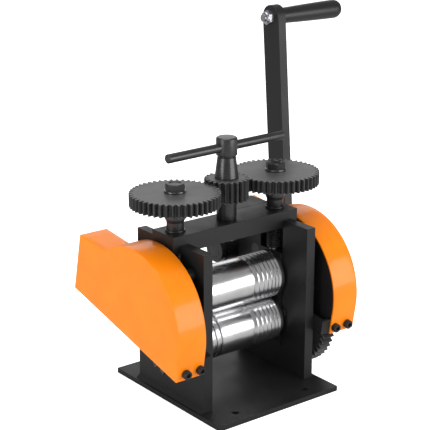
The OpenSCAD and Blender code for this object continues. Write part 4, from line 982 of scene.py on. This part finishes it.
def make_train():
    """Gears behind the covers: the pair that joins the rolls, drive gear, cluster and pinion."""
    # Radii of the bores and hubs, and widths of the cut teeth, the hub and the cluster's large gear
    seat, bore, hub_r, cut, drive_hub, step = 9 * MM, 8 * MM, 15 * MM, 8 * MM, 13 * MM, 7 * MM
    for body, axis, turn in (("lower_roll", ROLL_LOW, math.pi / 2),
                             ("upper_roll", ROLL_HIGH, -5 * math.pi / 12)):
        low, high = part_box(f"{body}_gear")
        face = low.x + cut
        place_gear(f"cut_{body}_gear", spun(tooth_outline(teeth=ROLL_TEETH, **ROLL_GEARS), turn),
                   toothed_section(low.x, face, seat, high_hub=[(hub_r, face), (hub_r, high.x)]),
                   lying(axis), (f"{body}_gear", (0, *axis), "X"), body, f"{body}_gear")
    first = math.atan2(*(STUD - ROLL_LOW)[::-1])
    second = math.atan2(*(CRANK - STUD)[::-1])
    low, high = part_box("drive_gear")
    face = high.x - drive_hub
    place_gear("cut_drive_gear", spun(tooth_outline(teeth=DRIVE_TEETH, **TRAIN), first),
               toothed_section(face, high.x, seat, low_hub=[(hub_r, low.x), (hub_r, face)]),
               lying(ROLL_LOW), ("drive", (0, *ROLL_LOW), "X"), "lower_roll", "drive_gear")
    low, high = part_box("cluster_gear")
    small_high = high.x - step
    cluster = [gear_body(spun(tooth_outline(teeth=teeth, **TRAIN), turn),
                         toothed_section(start, stop, bore))
               for teeth, turn, start, stop in (
                   (SMALL_TEETH, first + math.pi + math.pi / SMALL_TEETH, low.x, small_high),
                   (LARGE_TEETH, second, small_high, high.x))]
    shape = (*joined([(p, q) for p, q, _ in cluster]), np.concatenate([m for _, _, m in cluster]))
    place_piece("cut_cluster_gear", shape, [lying(STUD)], black_gear("cluster", (0, *STUD), "X"),
                "cluster", "cluster_gear")
    low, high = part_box("crank_pinion")
    turn = second + math.pi + math.pi / CRANK_TEETH
    place_gear("cut_crank_pinion", spun(tooth_outline(teeth=CRANK_TEETH, **TRAIN), turn),
               toothed_section(low.x, high.x, bore), lying(CRANK), ("crank", (0, *CRANK), "X"),
               "crank", "crank_pinion")


# Coated plates


PLATES = {
    "mill_frame": ("base_plate", "left_cheek", "right_cheek", "top_beam", "rear_shelf",
                   "lower_left_block", "lower_right_block", "left_back_plate", "right_back_plate",
                   "plate_spacers", "cover_brackets", "crank_bracket"),
    "upper_carriage": ("upper_left_block", "upper_right_block"),
}


def make_plates():
    """Coated plates, blocks and brackets, with rounded edges."""
    for body, nodes in PLATES.items():
        for node in nodes:
            ease_node(node, black_coat(), sizes().plate_round, body)


# Covers


def cover_front():
    """Centre and radius of a cover's round top, the foot of its front, and the angle of the point
    where the straight front touches the round top."""
    centre, radius = np.array([3.4, 86.2]) * MM, 72.2 * MM
    foot = np.array([-63.9, 51.5]) * MM
    down = centre - foot
    bearing = math.atan2(-down[1], -down[0])
    return centre, radius, foot, bearing - math.acos(radius / np.linalg.norm(down))


def cover_path():
    """Outline of a cover from the foot of its front over its round top to the foot of its tail.

    The front is the line from the foot that touches the round top, the top is an arc, and the
    tail is two straight edges with a small bend between them. Points are [y, z].
    """
    centre, radius, foot, touch = cover_front()
    tail_top, tail_foot = np.array([88.5, 149.5]) * MM, np.array([100.8, 92.4]) * MM
    join_y = 46 * MM
    join = math.acos((join_y - centre[0]) / radius)
    arc = np.linspace(touch % FULL_TURN, join, 60)
    top = centre + radius * np.stack([np.cos(arc), np.sin(arc)], axis=1)
    tail = rounded([top[-1], tail_top, tail_foot], 1.5 * MM, 4)[1:]
    front = foot + (top[0] - foot) * np.linspace(0, 1, 6)[:-1, None]
    rear = tail[-2] + (tail_foot - tail[-2]) * np.linspace(0, 1, 5)[1:, None]
    roof = top[-1] + (tail[0] - top[-1]) * np.linspace(0, 1, 5)[1:-1, None]
    return np.vstack([front, top, roof, tail[:-1], rear])


def inward(path):
    """Unit normals of an open path, pointing into the cover."""
    along = np.gradient(path, axis=0)
    normal = np.stack([along[:, 1], -along[:, 0]], axis=1)
    return normal / np.linalg.norm(normal, axis=1, keepdims=True)


def cover_shell(hole):
    """Outer surface of a cover: its path carried over a rim, round a bend and across the face.

    Rim and bend are a grid: along the path, and along a straight line and a quarter circle. The
    face is a second grid: each of its points is hole + t (edge - hole), with t from the hole's
    own radius out to 1, where edge runs once round the whole face.
    """
    bend = sizes().sheet_bend
    rim, face = 76.7 * MM, 106.6 * MM
    rim_count, bend_count, foot_count, ring_count = 5, 5, 28, 8
    path = cover_path()
    quarter = np.linspace(0, math.pi / 2, bend_count)
    x = np.concatenate([np.linspace(rim, face - bend, rim_count + 1)[:-1],
                        face - bend + bend * np.sin(quarter)])
    depth = np.concatenate([np.zeros(rim_count), bend * (1 - np.cos(quarter))])
    flat = path[:, None] + inward(path)[:, None] * depth[None, :, None]
    sides = np.concatenate([np.broadcast_to(x[None, :, None], (*flat.shape[:2], 1)), flat], axis=-1)
    edge = flat[:, -1]
    chord = edge[-1] + (edge[0] - edge[-1]) * np.linspace(0, 1, foot_count + 2)[1:-1, None]
    loop = np.vstack([edge, chord])
    reach = np.linalg.norm(loop - CRANK, axis=1, keepdims=True)
    t = np.linspace(0, 1, ring_count)[:, None, None]
    start = CRANK + (loop - CRANK) * (hole / reach)
    disc = start[None] + t * (loop - start)[None]
    disc = np.concatenate([np.full((*disc.shape[:2], 1), face), disc], axis=-1)
    return joined([(sides.reshape(-1, 3), grid_quads(len(path), len(x), wrap_columns=False)),
                   (disc.reshape(-1, 3), grid_quads(ring_count, len(loop)))])


def make_covers():
    """The two sheet covers, each one bent and welded shell with an open underside."""
    for side, hole, place in (("right", 9.5 * MM, upright()), ("left", 0.0, mirrored(upright()))):
        points, quads = cover_shell(hole)
        obj = make_object(f"{side}_cover_sheet", place(points), quads, orange_coat(), smooth=32)
        outward_shell(obj)
        wall = obj.modifiers.new("Sheet", "SOLIDIFY")
        wall.thickness = sizes().sheet
        wall.offset = -1
        bevelled(obj, 50, 0.3 * MM)
        add_piece(obj, "mill_frame", f"{side}_cover")


def outward_shell(obj):
    """Turns an open shell's faces away from the mill's middle where they point towards it."""
    mesh = obj.data
    face = max(mesh.polygons, key=lambda p: p.area)
    if face.normal.x * face.center.x < 0:
        mesh.flip_normals()


# Crank and grip


def make_crank():
    """The crank's arm with rounded edges, its shaft and its collar."""
    ease_node("crank_arm", black_coat(), 0.9 * MM, "crank", segments=3)
    low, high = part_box("crank_shaft")
    radius = 8 * MM
    shaft = rounded([[0, low.x], [radius, low.x], [radius, high.x], [0, high.x]], 0.8 * MM)
    low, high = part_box("crank_collar")
    collar = ring_profile(8.02 * MM, 13 * MM, low.x, high.x, ease=0.7 * MM)
    for node, profile in (("crank_shaft", shaft), ("crank_collar", collar)):
        place_piece(f"turned_{node}", turned(profile), [lying(CRANK)],
                    black_oxide("crank", (0, *CRANK), "X"), "crank", node)


def make_grip():
    """Grip: a smooth swelling profile with a rounded foot, a domed end and a deep bolt recess.

    Its radius grows from foot to end as 1 - (1 - t) to the power 1.6, a bell curve narrows it at
    the foot, and an ellipse rounds its end.
    """
    low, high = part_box("grip")
    length = high.x - low.x
    along = np.linspace(0, 1, 40)
    foot, end, bore, mouth, recess = 7.65 * MM, 9.5 * MM, 4.05 * MM, 6.8 * MM, high.x - 11.3 * MM
    swell = foot + (end - foot) * (1 - (1 - along) ** 1.6)
    neck = 1 - 0.22 * np.exp(-(along * length / (1.1 * MM)) ** 2)
    tail = np.sqrt(np.clip(1 - ((along - 0.93) / 0.075).clip(0, 1) ** 2 * 0.42, 0, 1))
    outer = np.stack([swell * neck * tail, low.x + along * length], axis=1)
    profile = np.vstack([[[bore, low.x], [5.4 * MM, low.x]], outer[1:],
                         [[mouth, high.x], [mouth, recess], [bore, recess], [bore, low.x]]])
    place_piece("moulded_grip", turned(profile), [lying(GRIP)], grip_plastic(), "grip",
                "grip")


def make_grip_bolt():
    """The grip's socket bolt and its locking nut, with a turned collar at the nut's mouth."""
    low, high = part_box("grip_bolt")
    head = 8 * MM
    bolt = socket_screw(diameter=7.96 * MM, head=13 * MM, height=head,
                        length=high.x - head - low.x, socket=6.5 * MM, ease=0.4 * MM)
    place_piece("grip_socket_bolt", bolt, [lying(GRIP, high.x - head)],
                ground_steel("grip_bolt", (0, *GRIP), "X"), "crank", "grip_bolt")
    low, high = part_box("grip_nut")
    height, bore = high.x - low.x, 4.05 * MM
    # The hexagon's foot and sides, without its top, where the collar begins
    hexagonal = hex_head(across=13 * MM, height=height - 2 * MM, dish=0, phase=math.pi / 2)[:-3]
    collar = [(5.9 * MM, height - 2 * MM), (5.75 * MM, height - 1 * MM),
              (5.2 * MM, height - 0.2 * MM), (4.7 * MM, height), (bore, height), (bore, 0),
              (6.2 * MM, 0)]
    nut = turned([(r, high.x - h) for r, h in hexagonal + collar + hexagonal[:1]])
    place_piece("locking_nut", nut, [lying(GRIP)], zinc("nut", (0, *GRIP), "X"), "crank",
                "grip_nut", smooth=22)


# Screws


def place_screws(name, screw, places, finish, node, body="mill_frame", smooth=30.0):
    """One piece of several like screws; finish is its material's name and centre."""
    place_piece(name, screw, places, black_screw(*finish, "X"), body, node, smooth)


def on_cover_front(x):
    """Function that puts a local screw on a cover's tilted front, at x, pointing forwards."""
    _, _, foot, touch = cover_front()
    inwards = -np.array([math.cos(touch), math.sin(touch)])
    upwards = np.array([-inwards[1], inwards[0]])
    place = foot + upwards * 6.8 * MM

    def put(points):
        """World points: the place, plus local y up along the front and local height out of it."""
        flat = place + points[:, 1:2] * upwards - points[:, 2:3] * inwards
        return np.column_stack([x + points[:, 0], flat])
    return put


def make_screws():
    """Socket screws of the covers, the bracket and the block keepers."""
    cover = socket_screw(diameter=4.96 * MM, head=8.5 * MM, height=5 * MM, length=6.5 * MM,
                         socket=4.25 * MM, ease=0.3 * MM)
    front = [on_cover_front(x) for x in (81.4 * MM, 96.9 * MM)]
    place_screws("cover_socket_screws", cover, front + [mirrored(place) for place in front],
                 ("cover_screws", (0, -0.065, 0.058)), "cover_screws")
    low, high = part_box("bracket_screws")
    head = 6 * MM
    bracket = socket_screw(diameter=5.96 * MM, head=10 * MM, height=head,
                           length=high.x - head - low.x, socket=5 * MM, ease=0.35 * MM)
    root = np.array([34.4, 90]) * MM
    aim = (CRANK - root) / np.linalg.norm(CRANK - root)
    across = 9 * MM * np.array([-aim[1], aim[0]])
    place_screws("bracket_socket_screws", bracket,
                 [lying(root + side * across, high.x - head) for side in (-1, 1)],
                 ("bracket_screws", (0, *root)), "bracket_screws")
    keeper = socket_screw(diameter=3.96 * MM, head=8 * MM, height=1.4 * MM, length=6.5 * MM,
                          socket=3 * MM, ease=0.2 * MM)
    at = np.array([-19.5, 64]) * MM

    def inside(points):
        """World points of a keeper on the right, with its head towards the mill's middle."""
        return lying(at, 56 * MM)(points * np.array([1, 1, -1]))
    place_screws("low_block_keepers", keeper, [inside, mirrored(inside)], ("keepers", (0, *at)),
                 "block_keepers")


def flanged_screw(flange, depth):
    """A hexagon screw with a flange of its own and a chamfered shank of a depth."""
    thick, shank = 2 * MM, 3.98 * MM
    head = hex_head(across=13 * MM, height=5.3 * MM, dish=0.5 * MM, phase=math.pi / 2)
    return turned([(0, -depth), (shank - 0.5 * MM, -depth), (shank, 0.5 * MM - depth), (shank, 0),
                   (flange - 0.3 * MM, 0), (flange, 0.3 * MM), (flange, 0.6 * thick),
                   (flange - 0.5 * MM, 0.92 * thick), (flange - 1.2 * MM, thick)]
                  + [(r, thick + h) for r, h in head])


def make_end_screws():
    """Flanged hexagon screws in the ends of the rolls and of the crank's shaft."""
    right, left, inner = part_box("drive_gear")[1].x, -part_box("lower_roll_gear")[0].x, 66.6 * MM
    depth = 17 * MM
    on_gear, on_journal = flanged_screw(12 * MM, depth), flanged_screw(12.5 * MM, depth)
    place_screws("lower_flanged_screws", on_gear,
                 [lying(ROLL_LOW, right), mirrored(lying(ROLL_LOW, left))],
                 ("lower_ends", (0, *ROLL_LOW)), "lower_end_screws", "lower_roll", smooth=22)
    both = joined([(mirrored(lying(ROLL_HIGH, left))(on_gear[0]), on_gear[1]),
                   (lying(ROLL_HIGH, inner)(on_journal[0]), on_journal[1])])
    place_screws("upper_flanged_screws", both, [upright()], ("upper_ends", (0, *ROLL_HIGH)),
                 "upper_end_screws", "upper_roll", smooth=22)
    place_screws("crank_flanged_screw", flanged_screw(11 * MM, depth=19 * MM),
                 [lying(CRANK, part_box("crank_arm")[1].x)], ("crank_end", (0, *CRANK)),
                 "crank_end_screw", "crank", smooth=22)


# Springs, bushes, pads, keys and clips


def make_springs():
    """Four coil springs between the blocks, which stay as made when the upper blocks rise."""
    low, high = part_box("lift_springs")
    radius, wire, turns = 1.85 * MM, 0.9 * MM, 8
    reach = radius + wire / 2
    x, y = high.x - reach, high.y - reach
    spring, quads = coil_spring(radius, wire, low.z, high.z, turns)
    points, quads = joined([(upright(sx * x, sy * y)(spring), quads)
                            for sx in (-1, 1) for sy in (-1, 1)])
    obj = make_object("coiled_lift_springs", points, quads, zinc("springs", (0, 0, 0), "Z"))
    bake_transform(obj)
    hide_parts("lift_springs")


# Node, body, slot, finish, the finish's name, and the centre and direction of its marks
SMALL_PARTS = (
    ("lower_bushes", "mill_frame", "bronze", bronze, "lower", (0, *ROLL_LOW), "X"),
    ("upper_bushes", "upper_carriage", "bronze", bronze, "upper", (0, *ROLL_HIGH), "X"),
    ("spindle_bush", "mill_frame", "bronze", bronze, "spindle", (0, 0, 0), "Z"),
    ("crank_bush", "mill_frame", "bronze", bronze, "crank", (0, *CRANK), "X"),
    ("cluster_bush", "cluster", "bronze", bronze, "cluster", (0, *STUD), "X"),
    ("thrust_pads", "upper_carriage", "ground_steel", ground_steel, "pads", (0, 0, 0), "Z"),
    ("cluster_stud", "mill_frame", "black_oxide", black_oxide, "stud", (0, *STUD), "X"),
    ("stud_clip", "mill_frame", "zinc", zinc, "stud", (0, *STUD), "X"),
    ("spindle_clip", "t_handle", "zinc", zinc, "spindle", (0, 0, 0), "Z"),
    ("upper_key", "upper_roll", "zinc", zinc, "upper_key", (0, *ROLL_HIGH), "X"),
    ("lower_keys", "lower_roll", "zinc", zinc, "lower_keys", (0, *ROLL_LOW), "X"),
    ("plate_screws", "mill_frame", "black_oxide", black_screw, "plate_screws", (0, 0, 0), "X"),
)


def make_small_parts():
    """Bushes, pads, keys, stud and clips: the frame's own shapes with eased edges."""
    for node, body, slot, finish, name, centre, along in SMALL_PARTS:
        ease_node(node, finish(name, centre, along), sizes().small_round, body)


# Stage


def seen_ray(tree, light):
    """1 for rays that reach the eye straight or through something clear."""
    return math_node(tree, "ADD", light["Is Camera Ray"], light["Is Transmission Ray"], clamp=True)


def floor_material():
    """Pale floor: a diffuse surface, white where the camera sees it and half as light in metal."""
    material = bpy.data.materials.new("pale_floor")
    material.use_nodes = True
    tree = material.node_tree
    tree.nodes.remove(tree.nodes["Principled BSDF"])
    diffuse = tree.nodes.new("ShaderNodeBsdfDiffuse")
    glow = tree.nodes.new("ShaderNodeEmission")
    both = tree.nodes.new("ShaderNodeAddShader")
    light = tree.nodes.new("ShaderNodeLightPath").outputs
    pale, glow_level = colours().floor, 0.8
    tree.links.new(mixed(tree, light["Is Glossy Ray"], pale, shaded(pale, 0.55)),
                   diffuse.inputs["Color"])
    tree.links.new(math_node(tree, "MULTIPLY", seen_ray(tree, light), glow_level),
                   glow.inputs["Strength"])
    for shader, socket in zip((diffuse, glow), both.inputs):
        tree.links.new(shader.outputs[0], socket)
    tree.links.new(both.outputs[0], tree.nodes["Material Output"].inputs["Surface"])
    return material


def make_floor():
    """A large square floor under the mill."""
    half = 12.0
    mesh = bpy.data.meshes.new("floor")
    corners = [(-half, -half, 0), (half, -half, 0), (half, half, 0), (-half, half, 0)]
    mesh.from_pydata(corners, [], [(0, 1, 2, 3)])
    mesh.materials.append(floor_material())
    floor = linked("floor", mesh)


# Name, place, aim, width, height and level of each soft lamp
LAMPS = (
    ("front_box", (0.58, -1.17, 0.4), (0, 0, 0.4), 1.12, 0.76, 3.45),
    ("left_box", (-1.2, -0.08, 0.42), (0, 0, 0.42), 0.6, 0.8, 3.8),
    ("overhead", (0.0, 0.25, 1.7), (0, 0, 0.1), 1.2, 1.2, 2.2),
    ("back_box", (0.92, 1.18, 0.72), (0, 0, 0.2), 1.3, 0.6, 0.85),
)


def make_lamp(name, place, aim, width, height, level):
    """A soft area lamp that points from place to aim; level is how bright its face looks."""
    lamp = bpy.data.lights.new(name, "AREA")
    lamp.shape = "RECTANGLE"
    lamp.size, lamp.size_y = width, height
    lamp.energy = level * math.pi * width * height
    obj = linked(name, lamp)
    obj.visible_camera = False
    turn = (Vector(aim) - Vector(place)).to_track_quat("-Z", "Y").to_matrix().to_4x4()
    obj.matrix_world = Matrix.Translation(place) @ turn


def make_world(level, mirrored_level):
    """A white backdrop that lights the mill evenly, and looks dimmer between the lamps in metal."""
    world = bpy.data.worlds.new("studio")
    bpy.context.scene.world = world
    world.use_nodes = True
    tree = world.node_tree
    background = tree.nodes["Background"]
    background.inputs["Color"].default_value = (1, 1, 1, 1)
    light = tree.nodes.new("ShaderNodeLightPath").outputs
    metal = remap(tree, light["Is Glossy Ray"], 0, 1, level, mirrored_level)
    tree.links.new(remap(tree, seen_ray(tree, light), 0, 1, metal, 1.0),
                   background.inputs["Strength"])


def make_camera(stage):
    """The photograph's camera: turned by azimuth, elevation and roll, with its focal length."""
    camera = bpy.data.cameras.new("camera")
    camera.sensor_width = 36
    camera.lens = camera.sensor_width * stage.focal_pixels / stage.frame_pixels
    camera.clip_end = 50
    a, e, r = stage.azimuth, stage.elevation, stage.roll
    back = Vector((-math.sin(a) * math.cos(e), -math.cos(a) * math.cos(e), math.sin(e)))
    right = Vector((math.cos(a), -math.sin(a), 0))
    up = back.cross(right)
    right, up = math.cos(r) * right + math.sin(r) * up, math.cos(r) * up - math.sin(r) * right
    turn = Matrix((right, up, back)).transposed().to_4x4()
    obj = linked("camera", camera)
    obj.matrix_world = Matrix.Translation(stage.place) @ turn
    bpy.context.scene.camera = obj


class MILL_OT_stage(bpy.types.Operator):
    """Makes the floor, the light and the camera"""
    bl_idname = "mill.stage"
    bl_label = "Stage"

    def execute(self, context):
        stage = context.scene.mill_stage
        make_camera(stage)
        make_floor()
        make_world(stage.world_level, stage.mirrored_level)
        for lamp in LAMPS:
            make_lamp(*lamp)
        context.scene.view_settings.view_transform = "Standard"
        return {"FINISHED"}


class MILL_OT_plates(bpy.types.Operator):
    """Rounds and coats the frame's plates, blocks and brackets"""
    bl_idname = "mill.plates"
    bl_label = "Coated plates"

    def execute(self, context):
        make_plates()
        return {"FINISHED"}


class MILL_OT_covers(bpy.types.Operator):
    """Makes the two orange sheet covers"""
    bl_idname = "mill.covers"
    bl_label = "Covers"

    def execute(self, context):
        make_covers()
        return {"FINISHED"}


class MILL_OT_rolls(bpy.types.Operator):
    """Makes the two polished rolls with their wire grooves"""
    bl_idname = "mill.rolls"
    bl_label = "Rolls"

    def execute(self, context):
        make_rolls()
        return {"FINISHED"}


class MILL_OT_adjuster(bpy.types.Operator):
    """Makes the pressing screws with their gears, washers, bolts and dust rings"""
    bl_idname = "mill.adjuster"
    bl_label = "Adjuster"

    def execute(self, context):
        make_screw_gears()
        make_pressing_screws()
        make_gear_bolts()
        make_dust_rings()
        return {"FINISHED"}


class MILL_OT_spindle(bpy.types.Operator):
    """Makes the spindle with its pinion and cross bar"""
    bl_idname = "mill.spindle"
    bl_label = "Spindle"

    def execute(self, context):
        make_spindle()
        make_cross_bar()
        return {"FINISHED"}


class MILL_OT_train(bpy.types.Operator):
    """Makes the gears behind the covers"""
    bl_idname = "mill.train"
    bl_label = "Gear train"

    def execute(self, context):
        make_train()
        return {"FINISHED"}


class MILL_OT_crank(bpy.types.Operator):
    """Makes the crank with its shaft, bolt, nut and grip"""
    bl_idname = "mill.crank"
    bl_label = "Crank"

    def execute(self, context):
        make_crank()
        make_grip()
        make_grip_bolt()
        return {"FINISHED"}


class MILL_OT_screws(bpy.types.Operator):
    """Makes the socket screws and the flanged hexagon screws"""
    bl_idname = "mill.screws"
    bl_label = "Screws"

    def execute(self, context):
        make_screws()
        make_end_screws()
        return {"FINISHED"}


class MILL_OT_small_parts(bpy.types.Operator):
    """Makes the springs, bushes, pads, keys and clips"""
    bl_idname = "mill.small_parts"
    bl_label = "Springs and bushes"

    def execute(self, context):
        make_springs()
        make_small_parts()
        return {"FINISHED"}


OPERATORS = (MILL_OT_stage, MILL_OT_plates, MILL_OT_covers, MILL_OT_rolls, MILL_OT_adjuster,
             MILL_OT_spindle, MILL_OT_train, MILL_OT_crank, MILL_OT_screws, MILL_OT_small_parts)


class MILL_PT_panel(bpy.types.Panel):
    """Lists the mill's piece groups"""
    bl_idname = "MILL_PT_panel"
    bl_label = "Rolling mill"
    bl_space_type = "VIEW_3D"
    bl_region_type = "UI"
    bl_category = "Rolling mill"

    def draw(self, context):
        for operator in OPERATORS:
            self.layout.operator(operator.bl_idname)


GROUPS = {"mill_colours": MillColours, "mill_sizes": MillSizes, "mill_stage": MillStage}


def register():
    """Registers the classes and hangs the property groups on the scene."""
    for item in (*GROUPS.values(), *OPERATORS, MILL_PT_panel):
        bpy.utils.register_class(item)
    for name, group in GROUPS.items():
        setattr(bpy.types.Scene, name, bpy.props.PointerProperty(type=group))


def unregister():
    """Takes the property groups and the classes away again."""
    for name in GROUPS:
        delattr(bpy.types.Scene, name)
    for item in (MILL_PT_panel, *OPERATORS[::-1], *GROUPS.values()):
        bpy.utils.unregister_class(item)


def write_sizes():
    """Brings the view layer up to date."""
    bpy.context.view_layer.update()


def main():
    """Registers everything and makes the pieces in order."""
    register()
    for operator in OPERATORS:
        group, name = operator.bl_idname.split(".")
        getattr(getattr(bpy.ops, group), name)()
    write_sizes()


if __name__ == "__main__":
    main()
